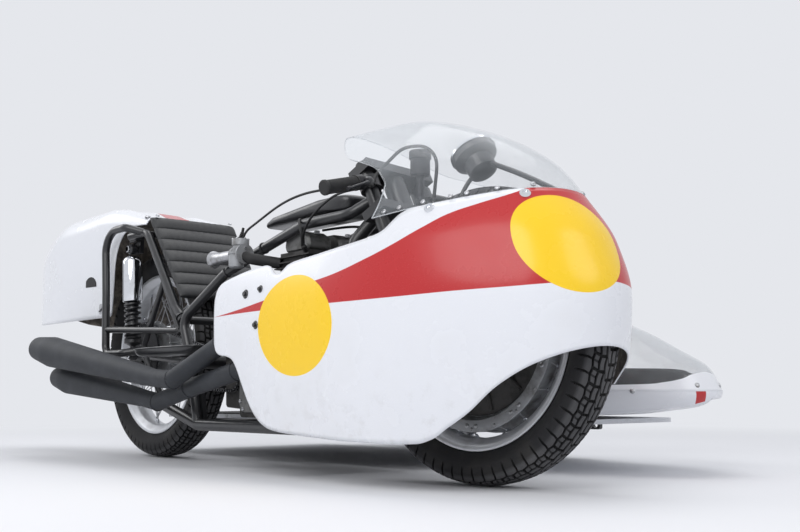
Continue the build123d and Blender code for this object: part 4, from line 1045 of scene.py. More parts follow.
class SIDECAR_OT_wheels(Build):
    """Tyres, rims, hubs and wire spokes: half sections turned about each axle"""
    bl_idname = "sidecar.wheels"
    bl_label = "Wheels"

    def make(self, sizes, colours):
        for name, body, centre, axle, outer, rim, half in WHEELS:
            # the tread attribute carries wear on the lug tops and painted shade in the grooves
            grid, worn = tyre_grid(centre, axle, outer, rim, half, sizes.pitches, sizes.tread)
            piece(f"{name}_tyre_tread", grid, use(tyre_rubber), body, [f"{name}_tyre"],
                  attribute=("tread", [worn]), crease=28)
            piece(f"{name}_rim_ring", lathe(rim_profile(rim), centre, axle, 120), use(rim_alloy), body,
                  [f"{name}_rim"], crease=40)
            hub = np.array(HUBS[name] + HUBS[name][:1]) / 1000
            piece(f"{name}_hub", lathe(hub, centre, axle, 72), use(hub_casting), body,
                  crease=30)
            self.wires(name, body, centre, axle, rim, sizes.spokes)
            if name == "front":
                self.rivets(body, centre, axle)
                self.brake_plate(centre, axle)
            self.valve(name, body, centre, axle, rim)

    def wires(self, name, body, centre, axle, rim, count):
        """Spokes: straight wires from the flanges, leaning by turns, each with a nipple at the rim."""
        flange, wide, lean = FLANGES[name]
        parts, nipples = [], []
        for k in range(count):
            face = 1 if k % 2 else -1
            a = 2 * pi * k / count
            b = a + radians(lean) * (1 if k % 4 < 2 else -1)
            near = centre + ray_from(axle, a) * flange / 1000 + axle * face * wide / 1000
            far = centre + ray_from(axle, b) * (rim - 27) / 1000 + axle * face * 0.004
            way = unit(far - near)
            parts.append(pipe(np.linspace(near - way * 0.004, far, 3), 0.0016, 8))
            nipples.append(lathe(((0, -0.016), (0.0026, -0.016), (0.0033, -0.013), (0.0033, 0.0), (0, 0)),
                                 far, way, 8))
            parts.append(lathe(((0.0035, -0.0012), (0.004, 0.0), (0.0025, 0.0022), (0, 0.0028)),
                               near + axle * face * 0.003, axle * face, 8))
        steel(f"{name}_spokes", parts, body)
        piece(f"{name}_nipples", nipples, use(chrome), body)

    def rivets(self, body, centre, axle):
        """Pairs of rivets round the wide flange."""
        heads = []
        for k in range(20):
            a = 2 * pi * (k // 2 + (0.1 if k % 2 else -0.1)) / 10
            for face in (1, -1):
                spot = centre + ray_from(axle, a) * 0.200 + axle * face * 0.042
                heads.append(screw(spot, axle * face, 0.0052, 0.0028))
        steel("front_flange_rivets", heads, body)

    def brake_plate(self, centre, axle):
        """The fixed plate inside the drum: a shallow dish with radial ribs, a scoop and two cam levers."""
        def spot(radius, turn, deep):
            return centre + ray_from(axle, turn) * radius / 1000 - axle * deep / 1000

        dish = ((0.176, -0.022), (0.178, -0.024), (0.174, -0.027), (0.10, -0.030), (0.09, -0.036),
                (0.064, -0.038))
        parts = [lathe(dish, centre, axle, 64)]
        for k in range(12):
            turn = 2 * pi * (k + 0.5) / 12
            parts.append(pipe(np.stack((spot(62, turn, 38), spot(110, turn, 33), spot(172, turn, 28))),
                              (0.007, 0.006, 0.004), 10))
        for turn in (2.1, 5.2):
            parts.append(lathe(((0, 0.026), (0.012, 0.026), (0.014, 0.02), (0.02, 0.0), (0.024, -0.006)),
                               spot(128, turn, 26), -axle, 20))
            lever = np.stack((spot(128, turn, 50), spot(96, turn + 0.5, 52), spot(80, turn + 1.0, 50)))
            parts.append(pipe(lever, (0.009, 0.0065, 0.006), 12))
        arm = smooth_line([spot(*place) for place in ((70, 3.7, 44), (105, 3.75, 52), (140, 3.9, 46),
                                                      (168, 4.1, 34))], 24)
        parts.append(pipe(arm, np.linspace(0.021, 0.013, 24), 18, squash=0.7))
        piece("front_brake_plate", parts, use(dark_casting), "steering", crease=40)

    def valve(self, name, body, centre, axle, rim):
        """A tyre valve and its lock nut on the underside of the rim."""
        way = -ray_from(axle, 0.63)
        foot = centre - way * (rim - 28) / 1000
        stem = ((0.004, -0.002), (0.004, 0.016), (0.0032, 0.017), (0.0032, 0.027), (0.0, 0.028))
        steel(f"{name}_valve", [lathe(stem, foot, way, 12), hexagon(foot, way, 0.007, 0.004)], body)


# ------------------------------------------------------------------ exhausts
PIPE_RADIUS, PIPE_WALL = 24, 2.5
EXHAUSTS = (  # name, run, tail end, shares and radii along the last stretch
    ("upper", ((929, -50, 500), (985, -50, 500), (992, -190, 430), (900, -228, 368), (752, -250, 318),
               (600, -300, 233), (500, -300, 240)), (-293, -300, 345),
     ((0, 24), (0.05, 26), (0.86, 48), (1, 38))),
    ("lower", ((929, 50, 500), (985, 50, 500), (1000, -70, 385), (985, -200, 300), (820, -242, 252),
               (587, -240, 212), (411, -240, 175), (320, -240, 187)), (-269, -240, 252),
     ((0, 24), (0.05, 26), (0.86, 44), (1, 34))),
)


class SIDECAR_OT_exhausts(Build):
    """Exhausts: a round section along bent runs, then a cone that opens to the rear and closes a little"""
    bl_idname = "sidecar.exhausts"
    bl_label = "Exhausts"

    def make(self, sizes, colours):
        for name, run, tail, cone in EXHAUSTS:
            front = bent_line(run, [0] + [34] * 3 + [40] * (len(run) - 6) + [10, 0], 7)
            start, end = np.array(run[-1], float), np.array(tail, float)
            share = np.concatenate((np.linspace(0, 0.05, 4)[1:], np.linspace(0.05, 0.86, 24)[1:],
                                    np.linspace(0.86, 1, 6)[1:]))
            radius = np.interp(share, *np.array(cone).T)
            line = np.concatenate((front, start + (end - start) * share[:, None]))
            size = np.concatenate((np.full(len(front), float(PIPE_RADIUS)), radius))
            inner = np.linspace(1, 0.84, 8)
            line = np.concatenate((line, start + (end - start) * inner[:, None]))
            size = np.concatenate((size, np.interp(inner, *np.array(cone).T) - PIPE_WALL))
            skin = self.tube(line, size, len(front) + len(share))
            beads = [self.ring(line, size, k, sizes.bead * 1000) for k in self.kinks(front, run)]
            piece(f"exhaust_{name}_skin", [at(skin)] + [at(b) for b in beads], use(stove_black), "chassis",
                  [f"exhaust_{name}"], crease=50)

    def tube(self, line, size, outer):
        """The outside and, turned back at the mouth, the inside of one pipe as a single surface."""
        side, up = (np.concatenate((v, np.repeat(v[-1:], len(line) - outer, axis=0)))
                    for v in rails(line[:outer])[1:])
        t = np.linspace(0, 2 * pi, 33)
        ring = side[:, None] * np.cos(t)[None, :, None] + up[:, None] * np.sin(t)[None, :, None]
        grid = line[:, None] + ring * size[:, None, None]
        first, last = (np.repeat(end[None, None], len(t), axis=1) for end in (line[0], line[-1]))
        return np.concatenate((first, grid, last))

    def kinks(self, front, run):
        """Places along the smoothed run that are nearest to its corners."""
        return [int(np.argmin(np.linalg.norm(front - corner, axis=1))) for corner in np.array(run[3:-1])]

    def ring(self, line, size, k, bead):
        """A weld bead: a small torus about the line."""
        way = unit(line[min(k + 1, len(line) - 1)] - line[k - 1])
        a = np.linspace(0, 2 * pi, 9)
        return lathe(np.stack((size[k] + bead * 0.3 + bead * np.cos(a), bead * 1.4 * np.sin(a)), axis=-1),
                     line[k], way, 40)


# ------------------------------------------------------------------ seat pad, trays, springs, tank
PAD_TOP, PAD_FOOT = np.array((150, 735.0)), np.array((352, 478.0))  # x and height of the board's two ends
PAD_DEEP, PAD_HALF = 16, 150


class SIDECAR_OT_pad(Build):
    """Back pad: a closed board whose front swells between sewn channels and rolls over at the top"""
    bl_idname = "sidecar.pad"
    bl_label = "Back pad"

    def make(self, sizes, colours):
        way = unit(PAD_FOOT - PAD_TOP)
        out = np.array((-way[1], way[0]))
        v, u = np.linspace(0, 1, 141)[:, None], np.linspace(-1, 1, 65)[None]
        rib = np.abs(np.sin(pi * sizes.ribs * v)) ** 0.42
        edge = (1 - np.abs(u) ** 9) ** 0.5 * np.clip((1 - np.abs(2 * v - 1) ** 26), 0, 1) ** 0.5
        roll = 8 * np.exp(-(v / 0.09) ** 2)
        swell = (3 + 9 * rib * (0.75 + 0.25 * (1 - u ** 4)) + roll * 0.6) * edge
        pull = 2.2 * (1 - rib) * np.abs(u) ** 6
        wrinkle = 0.5 * np.sin(41 * u + 9 * v) * np.sin(27 * v + 3 * u) * edge
        across = u * (PAD_HALF - 2 - pull)
        lift = PAD_DEEP * 0.35 + swell + wrinkle
        line = PAD_TOP + (PAD_FOOT - PAD_TOP) * v[..., None]
        front = line + out * lift[..., None] - out * PAD_DEEP * 0.3
        back = line - out * PAD_DEEP * np.clip(edge + 0.2, 0, 1)[..., None] * 0.85
        front, back = (np.stack((f[..., 0], np.broadcast_to(across, lift.shape), f[..., 1]), -1)
                       for f in (front, back))
        sides = [np.stack((front[:, k], back[:, k])[::turn], 1) for k, turn in ((0, -1), (-1, 1))]
        ends = [np.stack((front[k], back[k])[::turn]) for k, turn in ((0, -1), (-1, 1))]
        pad = piece("back_pad_cover", [at(g) for g in (front, back[:, ::-1], *sides, *ends)],
                    use(ribbed_vinyl), "chassis", ["back_pad"], crease=60, weld=1e-5)
        steel("pad_studs", [screw(at((162, y, 742)), (0.3, 0, 1), 0.006, 0.004) for y in (-128, 128)])


TRAY_SECTION = np.array((  # share of the plan, height: down the inside, over the rim and back underneath
    (0, 307), (0.3, 307), (0.62, 307.5), (0.8, 309), (0.9, 312), (0.955, 317), (0.985, 322), (1, 325.5),
    (1, 323), (0.985, 318), (0.95, 311), (0.9, 306), (0.8, 303), (0.6, 301.5), (0.3, 301), (0, 301)))


class SIDECAR_OT_trays(Build):
    """Knee trays: boat-shaped rims with the floor sunk between them by a rounded section"""
    bl_idname = "sidecar.trays"
    bl_label = "Knee trays"

    def make(self, sizes, colours):
        for name, side in (("right", -1), ("left", 1)):
            a = np.linspace(0, 2 * pi, 97)
            long, wide = (np.sign(v) * np.abs(v) ** power
                          for v, power in ((np.cos(a), 0.75), (np.sin(a), 0.6)))
            mid = np.array((425, side * 217))
            plan = mid + np.stack((172 * long, side * 43 * wide), -1)
            flat = mid + (plan - mid) * TRAY_SECTION[:, None, :1]
            rise = np.broadcast_to(TRAY_SECTION[:, None, 1:], flat.shape[:2] + (1,))
            grid = np.concatenate((flat, rise), -1)
            lip = pipe(np.concatenate((plan, np.full((97, 1), 324.0)), 1), 2.6, 8, caps=False)
            strap = [pipe(((x, side * 150, 306), (x, side * 190, 304)), 6, 12) for x in (385, 440)]
            bolts = [screw(at((x, side * 200, 307.5)), (0, 0, 1), 0.007, 0.003) for x in (385, 440)]
            tray = [at(g) for g in [grid, lip] + strap] + bolts
            piece(f"knee_tray_{name}", tray, use(black_enamel), "chassis",
                  ["knee_trays"] if side < 0 else (), crease=45)


def spring(foot, top, radius, wire, turns, start, end):
    """A coil about the line from foot to top: a helix whose last turns close up."""
    foot, top = np.asarray(foot, float), np.asarray(top, float)
    way, length = unit(top - foot), np.linalg.norm(top - foot)
    side = unit(np.cross(way, (0, 1, 0)))
    other = np.cross(way, side)
    t = np.linspace(0, 1, turns * 18 + 1)
    rise = start + (end - start) * (t - 0.035 * np.sin(2 * pi * t))
    a = 2 * pi * turns * t
    ring = side * np.cos(a)[:, None] + other * np.sin(a)[:, None]
    return pipe(foot + way * (rise * length)[:, None] + ring * radius, wire, 9)


SHOCK_FOOT, SHOCK_TOP, SHOCK_Y = (67, 317), (42, 648), 150


class SIDECAR_OT_shocks(Build):
    """Rear shocks: eyes, a damper body, an open coil and a bright upper cover, along each leaning line"""
    bl_idname = "sidecar.shocks"
    bl_label = "Rear shocks"

    def make(self, sizes, colours):
        dark, bright, coil = [], [], []
        for side in (-1, 1):
            foot, top = (np.array((x, side * SHOCK_Y, z)) for x, z in (SHOCK_FOOT, SHOCK_TOP))
            way, long = unit(top - foot), np.linalg.norm(top - foot)
            for spot in (foot, top):
                eye = ((8, -11), (14, -11), (16, -8), (16, 8), (14, 11), (8, 11))
                dark.append(at(lathe(eye, spot, (0, 1, 0), 28)))
                bright.append(at(hexagon(spot + (0, side * 11, 0), (0, side, 0), 11, 7)))
            rod = ((0, 0.03), (8, 0.04), (9, 0.08), (20, 0.1), (26, 0.11), (26, 0.14), (17, 0.15), (16, 0.5),
                   (0, 0.5))
            dark.append(at(lathe([(r, s * long) for r, s in rod], foot, way, 32)))
            gaiter = np.array([(15 + 4 * (k % 2), (0.36 + 0.015 * k) * long) for k in range(10)])
            dark.append(at(lathe(gaiter, foot, way, 32)))
            cover = ((0, 0.93), (12, 0.93), (20, 0.925), (27, 0.905), (30, 0.88), (30, 0.505), (29, 0.5),
                     (27, 0.505), (27, 0.86), (0, 0.87))
            bright.append(at(lathe([(r, s * long) for r, s in cover], foot, way, 48)))
            coil.append(at(spring(foot, top, 22, 4.2, sizes.coils, 0.14, 0.53)))
        enamel("shock_bodies", dark, ["rear_shocks"])
        piece("shock_covers", bright, use(chrome), "chassis")
        enamel("shock_springs", coil)


class SIDECAR_OT_tank(Build):
    """Fuel tank: side outline carried across with its corners rolled in, and a filler"""
    bl_idname = "sidecar.tank"
    bl_label = "Fuel tank"

    def make(self, sizes, colours):
        outline = rounded(((640, 646), (1036, 646), (1044, 688), (940, 689), (690, 667)), 14, 7)
        u = np.linspace(-1, 1, 33)
        share = (1 - np.abs(u) ** 6) ** (1 / 3)
        share[[0, -1]] = 0
        mid = outline[:-1].mean(axis=0)
        flat = mid + (outline - mid)[None] * share[:, None, None]
        wide = np.broadcast_to((84 * np.sign(u) * np.abs(u) ** 0.9)[:, None, None], flat.shape[:2] + (1,))
        grid = np.concatenate((flat[..., :1], wide, flat[..., 1:]), -1)
        cap = lathe(((0, 16), (19, 15), (22, 12), (22, 2), (27, 0), (27, -6)), (900, 0, 684), (0, 0, 1), 36)
        enamel("tank_shell", at(grid), ["fuel_tank"], crease=60)
        steel("tank_filler", at(cap))


# ------------------------------------------------------------------ engine
class SIDECAR_OT_carburettors(Build):
    """Carburettors: round bodies with flanges, float bowls, bell mouths and cable boots, turned and bored"""
    bl_idname = "sidecar.carburettors"
    bl_label = "Carburettors"

    def make(self, sizes, colours):
        cast, bright, soft = [], [], []
        for side in (-1, 1):
            y = side * 160
            barrel = ((0, 0), (21, 0), (23, 3), (23, 12), (20, 14), (20, 44), (27, 46), (27, 52), (0, 52))
            cast.append(at(lathe(barrel, (668, y, 562), (1, 0, 0), 36)))
            tower = ((0, 0), (19, 0), (20, 3), (20, 40), (23, 42), (23, 56), (21, 59), (12, 60), (0, 60))
            cast.append(at(lathe(tower, (696, y, 545), (0, 0, 1), 36)))
            bowl = ((0, -8), (17, -8), (20, -5), (20, 26), (22, 28), (22, 33), (0, 33))
            cast.append(at(lathe(bowl, (696, y + side * 12, 534), (0, 0, 1), 30)))
            inlet = bent_line(((712, side * 158, 556), (734, side * 146, 548), (786, side * 92, 535)), 24)
            soft.append(at(pipe(inlet, 15, 22)))
            trumpet = ((24, 0), (23.4, -2), (20, -7), (17.5, -20), (16.5, -40), (16.5, -72), (16.5, -106),
                       (14.5, -106), (14.5, -40), (16, -20), (19, -7), (22.6, -1), (24, 0))
            bright.append(at(lathe([(r, -h) for r, h in trumpet], (562, y, 562), (1, 0, 0), 44)))
            for k in range(6):
                a = 2 * pi * k / 6
                bright.append(at(screw((696 + 21 * cos(a), y + 21 * sin(a), 604), (0, 0, 1), 2.6, 2.5)))
            for dz in (-16, 16):
                bright.append(at(hexagon((716, y, 562 + dz), (1, 0, 0), 5, 7)))
            boot = ((9, 0), (9, 4), (6, 6), (7.5, 8), (5.5, 10), (6.5, 12), (4.8, 14), (5.8, 16), (4, 18),
                    (3.4, 30), (0, 31))
            soft.append(at(lathe(boot, (699, y, 604), (0.34, 0, 1), 20)))
        piece("carburettor_bodies", cast, use(hub_casting), "chassis", ["carburettors"])
        steel("carburettor_trumpets", bright)
        rubber("carburettor_boots", soft)


CRANKCASE = ((664, 148), (926, 146), (944, 206), (934, 318), (704, 318), (664, 280))
COVERS = (  # outline, width from, width to
    (CRANKCASE, -139, -125), (CRANKCASE, 125, 141),
    (((488, 178), (632, 166), (632, 312), (514, 312), (486, 288)), 105, 117))
SPROCKETS = ((0, 325, 97), (525, 250, 45))  # x, height and radius of the chain's run round each
CHAIN_Y, CHAIN_PITCH = -76, 12.7


class SIDECAR_OT_engine(Build):
    """Engine details: covers as rounded outlines with drawn-in ends, bolt rings, plugs, pipes and a chain"""
    bl_idname = "sidecar.engine"
    bl_label = "Engine details"

    def make(self, sizes, colours):
        cast, bolts, soft = [], [], []
        for outline, low, high in COVERS:
            shape = rounded(outline, 26, 7)
            cast.append(at(prism(shape, low, high, 5)))
            face = high if low > 0 else low
            mid = shape[:-1].mean(axis=0)
            ring = mid + (shape[:-1:4] - mid) * 0.93
            bolts += [screw(at((x, face, z)), (0, np.sign(face), 0), 0.0055, 0.004) for x, z in ring]
        for side in (-1, 1):
            cap = rounded(((792, 562), (908, 562), (902, 596), (872, 612), (828, 612), (798, 596)), 14, 5)
            cast.append(at(prism(cap, *sorted((side * 12, side * 88)), 6)))
            for x in (812, 888):
                bolts.append(hexagon(at((x, side * 50, 606)), (0, 0, 1), 0.008, 0.008))
            disc = ((0, 8), (30, 8), (36, 5), (38, 0), (38, -2))
            cast.append(at(lathe(disc, (820, side * 140, 226), (0, side, 0), 40)))
            plug = ((0, 40), (6, 40), (7, 34), (7, 18), (9, 17), (9, 10), (12, 9), (12, 0))
            soft.append(at(lathe(plug, (900, side * 86, 548), (0.5, side * 0.75, 0.45), 18)))
            lead = smooth_line(((916, side * 116, 566), (930, side * 128, 590), (905, side * 118, 628),
                                (850, side * 70, 640), (790, side * 40, 636)), 40)
            soft.append(at(pipe(lead, 3.5, 10)))
        piece("engine_covers", cast, use(cast_alloy), "chassis")
        steel("engine_bolts", bolts)
        rubber("ignition_leads", soft)
        self.chain()
        dress(use(dark_casting), "engine_block", "cylinder_block", "gearbox")

    def chain(self):
        """Drive chain: side plates and rollers set evenly along the loop round both sprockets."""
        (x0, z0, r0), (x1, z1, r1) = SPROCKETS
        span = np.hypot(x1 - x0, z1 - z0)
        tilt, lean = atan2(z1 - z0, x1 - x0), np.arcsin((r0 - r1) / span)
        up, down = tilt + pi / 2 - lean, tilt - pi / 2 + lean
        arcs = (x0, z0, r0, np.linspace(up, down + 2 * pi, 60)), (x1, z1, r1, np.linspace(down, up, 40))
        loop = np.concatenate([np.stack((x + r * np.cos(a), z + r * np.sin(a)), -1) for x, z, r, a in arcs])
        loop = np.concatenate((loop, loop[:1]))
        run = np.concatenate(([0], np.cumsum(np.linalg.norm(np.diff(loop, axis=0), axis=1))))
        count = 2 * int(run[-1] / (2 * CHAIN_PITCH))
        spot = np.linspace(0, run[-1], count + 1)
        x, z = np.interp(spot, run, loop[:, 0]), np.interp(spot, run, loop[:, 1])
        plates, rollers = [], []
        roller = ((0, -5.6), (2.4, -5.6), (2.4, -3), (4.2, -3), (4.2, 3), (2.4, 3), (2.4, 5.6), (0, 5.6))
        t = np.linspace(0, 2 * pi, 13)
        long = (9.6 * np.sign(np.cos(t)) * np.abs(np.cos(t)) ** 0.6)[:, None]
        tall = (4.4 * np.sin(t) * (0.8 + 0.2 * np.abs(np.cos(t))))[:, None]
        for k in range(count):
            a, b = (np.array((x[j], CHAIN_Y, z[j])) for j in (k, k + 1))
            rollers.append(at(lathe(roller, a, (0, 1, 0), 8)))
            way, mid, depth = unit(b - a), (a + b) / 2, 3.4 if k % 2 else 4.6
            flat = way * long + np.cross(way, (0, 1, 0)) * tall
            for face in (-1, 1):
                plates.append(at(np.stack([mid + flat * share + (0, face * (depth + rise), 0)
                                           for share, rise in ((0, -0.5), (1, -0.5), (1, 0.5), (0, 0.5))])))
        piece("chain_plates", plates, use(dark_steel), "chassis", ["drive_chain"])
        steel("chain_rollers", rollers)


# ------------------------------------------------------------------ controls
GRIP_FROM, GRIP_TO = np.array((1262, 200, 656.0)), np.array((1263, 330, 617.0))  # straight end of the bar
LEVER_RUN = ((1272, 222, 648), (1286, 228, 645), (1300, 240, 640), (1310, 264, 630), (1314, 288, 620),
             (1314, 308, 611))
RESERVOIR_AT = (1278, -40)
HOSE_RUN = ((1240, -150, 668), (1214, -112, 706), (1210, -76, 738), (1232, -70, 754), (1290, -72, 758),
            (1330, -66, 748), (1352, -60, 722), (1356, -62, 680), (1354, -68, 620), (1356, -76, 540))
DIAL_AT, DIAL_TILT = np.array((1440, -20, 712.0)), radians(35)
DIAL_STRUTS = (  # run, count, radius, sides
    (((1468, -20, 700), (1560, -20, 660), (1670, -20, 604)), 20, 6, 14),
    (((1430, -20, 672), (1410, -30, 640), (1396, -34, 590), (1380, -20, 560)), 30, 5, 12))


class SIDECAR_OT_controls(Build):
    """Grips, levers, reservoir, hoses and rev counter: turned sections along the bars"""
    bl_idname = "sidecar.controls"
    bl_label = "Controls"

    def make(self, sizes, colours):
        grips, metal = [], []
        for side in (-1, 1):
            a, b = GRIP_FROM * (1, side, 1), GRIP_TO * (1, side, 1)
            way, long = unit(b - a), np.linalg.norm(b - a)
            grooves = np.linspace(0.33, 0.96, 85)
            radius = 15.6 - 1.3 * (np.abs(np.sin(np.arange(85) * pi / 3)) < 0.4)
            profile = [(11.2, 0.3 * long), (17.5, 0.3 * long), (17.5, 0.325 * long)]
            profile += list(zip(radius, grooves * long))
            profile += [(17, 0.965 * long), (17, long), (14, 1.02 * long), (0, 1.02 * long)]
            grips.append(steered(lathe(profile, a, way, 36)))
            clamp = ((11.1, 0.15), (16, 0.15), (17, 0.165), (17, 0.27), (16, 0.285), (11.1, 0.285))
            metal.append(steered(lathe([(r, s * long) for r, s in clamp], a, way, 30)))
            blade = smooth_line(np.array(LEVER_RUN, float) * (1, side, 1), 40)
            size = np.interp(np.linspace(0, 1, 40), (0, 0.1, 0.9, 0.95, 1), (6, 5, 4.2, 6.5, 5))
            metal.append(steered(pipe(blade, size, 14, squash=0.8)))
            pivot = ((0, -7), (5, -7), (5, 7), (0, 7))
            metal.append(steered(lathe(pivot, (1282, side * 225, 646), (0, 0, 1), 14)))
        piece("grip_rubbers", grips, use(soft_rubber), "steering", ["grips"])
        piece("lever_blades", metal, use(dark_steel), "steering", ["levers"])
        self.reservoir()
        self.rev_counter()
        dress(use(black_enamel), "handlebars", "fork")
        dress(use(dark_casting), "fork_links", "fork_dampers")
        dress(use(bright_steel), "front_axle", "rear_axle")

    def reservoir(self):
        """Fluid reservoir on the bar, with its hose rising in an arch to the fork."""
        body = ((0, 0), (20, 0), (23, 3), (23, 38), (26, 40), (26, 56), (24, 59), (0, 60))
        pot = at(lathe(body, (*RESERVOIR_AT, 695), (0, 0, 1), 36))
        stem = at(pipe([(*RESERVOIR_AT, z) for z in (640, 670, 700)], 9, 14))
        piece("reservoir", [pot, stem], use(dark_steel), "steering")
        hose = at(pipe(smooth_line(HOSE_RUN, 80), 4, 12))
        rubber("brake_hose", hose, "steering")

    def rev_counter(self):
        """Rev counter: a turned case with a bezel, and a dial of ticks and a needle under its glass."""
        way, centre = np.array((-sin(DIAL_TILT), 0, cos(DIAL_TILT))), DIAL_AT
        case = ((0, -46), (26, -46), (33, -42), (34, -12), (46, -6), (50, -2), (50, 10), (52, 12), (52, 17),
                (48, 18), (46, 15), (46, 12))
        struts = [at(pipe(smooth_line(run, count), radius, sides))
                  for run, count, radius, sides in DIAL_STRUTS]
        enamel("rev_counter_case", [at(lathe(case, centre, way, 56))] + struts, ["rev_counter"])
        dial = at(lathe(((46, 11), (0, 11)), centre, way, 56))
        piece("rev_counter_dial", dial, use(dial_black), "chassis")
        side = unit(np.cross((0, 1, 0), way))

        def ray(degrees):
            return ACROSS * sin(radians(degrees)) - side * cos(radians(degrees))

        ticks, face = [], centre + way * 11.6
        for k in range(41):
            out = ray(-135 + 270 * k / 40)
            inner, thick = (34, 0.9) if k % 5 == 0 else (38, 0.5)
            ticks.append(at(pipe(np.stack((face + out * inner, face + out * 42)), thick, 4)))
        needle, face = ray(-135), centre + way * 12.4
        ticks.append(at(pipe(np.stack((face - needle * 8, face + needle * 36)), (1.4, 0.5), 6)))
        ticks.append(at(lathe(((0, 2), (4, 1.6), (4.4, 0), (0, 0)), centre + way * 12, way, 16)))
        piece("rev_counter_marks", ticks, use(plain_white), "chassis")
        glass = np.array([(46 * sin(t), 14 + 2 * cos(t)) for t in np.linspace(pi / 2, 0, 7)])
        piece("rev_counter_glass", at(lathe(glass, centre, way, 56)), use(clear_sheet), "chassis")
        piece("rev_counter_bezel", at(lathe(((48, 19), (53, 18), (53.5, 12), (50, 11.5)), centre, way, 56)),
              use(chrome), "chassis")


# ------------------------------------------------------------------ cables
CABLE_RUNS = (
    ((1243, -210, 655), (1196, -206, 659), (1145, -201, 665), (1094, -197, 669), (1040, -192, 672),
     (985, -187, 671), (930, -182, 666), (878, -177, 657), (826, -172, 645), (775, -167, 633),
     (734, -163, 624), (712, -161, 610), (704, -160, 590)),
    ((1243, -196, 650), (1205, -189, 654), (1160, -178, 657), (1110, -165, 657), (1058, -150, 652),
     (1008, -137, 642), (962, -128, 624), (930, -120, 602), (908, -108, 582), (898, -96, 562)),
)


class SIDECAR_OT_cables(Build):
    """Control cables: smooth splines over given points, bending from the bars to the engine"""
    bl_idname = "sidecar.cables"
    bl_label = "Control cables"

    def make(self, sizes, colours):
        for number, run in enumerate(CABLE_RUNS):
            curve = bpy.data.curves.new(f"cable_{number + 1}_line", "CURVE")
            curve.dimensions = "3D"
            spline = curve.splines.new("NURBS")
            spline.points.add(len(run) - 1)
            points = np.concatenate((at(run), np.ones((len(run), 1))), axis=1)
            spline.points.foreach_set("co", points.ravel())
            spline.order_u = 3
            spline.use_endpoint_u = True
            spline.resolution_u = 10
            curve.bevel_depth, curve.bevel_resolution, curve.use_fill_caps = 0.003, 3, True
            line = bpy.data.objects.new(f"cable_{number + 1}_line", curve)
            bpy.context.scene.collection.objects.link(line)
            mesh = bpy.data.meshes.new_from_object(line)
            bpy.data.objects.remove(line)
            cable = bpy.data.objects.new(f"control_cable_{number + 1}", mesh)
            bpy.context.scene.collection.objects.link(cable)
            mesh.materials.clear()
            mesh.materials.append(use(soft_rubber))
            mesh.shade_smooth()
            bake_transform(cable)
            if number == 0:
                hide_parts("control_cables")
        ferrule, ends = ((0.0032, -0.002), (0.005, 0.0), (0.005, 0.012), (0.0036, 0.016)), []
        for run in CABLE_RUNS:
            a, b = at(run[-1]), at(run[-2])
            ends.append(lathe(ferrule, a, unit(b - a), 14))
        steel("cable_ferrules", ends)


# ------------------------------------------------------------------ sidecar
FLOOR_TOP = 130
FLOOR_PLAN = ((-330, 190), (950, 190), (1040, 350), (1360, 410), (1360, 790), (1040, 850), (1000, 892),
              (-330, 892))
TUB_TOP = 202
DOME_FOOT, DOME_CROWN = 200, 425
NOSE_SCREWS = ((1050, 201), (1160, 201), (1270, 201), (1380, 201), (1493, 201), (1603, 214))


class SIDECAR_OT_nose(Build):
    """Sidecar nose and dome: level outlines of two arcs and straight sides, closed at the crown"""
    bl_idname = "sidecar.nose"
    bl_label = "Sidecar nose"

    def make(self, sizes, colours):
        s = np.linspace(-1, 1, 221)
        shift = np.array((0, TUB_Y, 0))
        low = meet(TUB_ROWS, s, lambda x: np.where(s < 0, over(TUB_LOW_RIGHT, x), over(TUB_LOW_LEFT, x)),
                   TUB_BACK, TUB_BACK, 150)
        wall = panel(TUB_ROWS, low, np.full(s.shape, float(TUB_TOP)), s, 16, TUB_BACK, TUB_BACK)
        draw_in = np.ones((8, 1, 3))
        draw_in[:, 0, 1] = np.linspace(0, 1, 9)[:-1]
        keel = wall[:1] * draw_in
        tub = at(np.concatenate((keel, wall)) + shift)
        wrap = np.concatenate((np.ones(keel.shape[:2]), arc_length(at(wall))))
        piece("sidecar_nose_skin", tub, [nose_paint(colours), use(raw_laminate)], "chassis",
              ["sidecar_nose"], wall=sizes.skin, flip=True, attribute=("wrap", [wrap]))
        share = 1 - (1 - np.linspace(0, 1, 60)) ** 1.6
        z = DOME_FOOT + (DOME_CROWN - DOME_FOOT) * share[:, None] + 0 * s[None]
        dome = level(DOME_ROWS, z, np.broadcast_to(s, z.shape), DOME_BACK, DOME_BACK)
        crown = dome[-1:] * (1, 0, 1) + (0, 0, 2.5)
        dome = at(np.concatenate((dome, crown)) + shift)
        piece("sidecar_dome", dome, [dome_sheet(colours), use(sheet_edge)], "chassis",
              ["sidecar_screen"], wall=sizes.sheet, flip=True, rim_only=True,
              attribute=("wrap", [arc_length(dome)]))
        inner = DOME_ROWS - (0, 7, 0, 7, 8, 5)
        ring = level(inner, np.full(s.shape, 230.0), s, DOME_BACK, DOME_BACK)
        top = over(COAMING_TOP, arc_length(ring[None])[0])
        band = panel(inner, np.full(s.shape, 201.0), top, s, 8, DOME_BACK, DOME_BACK) + shift
        piece("sidecar_coaming", at(band), [use(soft_rubber)], "chassis", wall=0.003, flip=True)
        heads = []
        for x, z in NOSE_SCREWS:
            for side in (-1, 1):
                spot, out = on_form(DOME_ROWS, x, z, side, DOME_BACK, DOME_BACK, TUB_Y)
                heads.append(screw(spot, out, 0.0065, 0.003))
        steel("sidecar_nose_screws", heads)


MUDGUARD_SPAN = (0.19, -pi - 0.19)


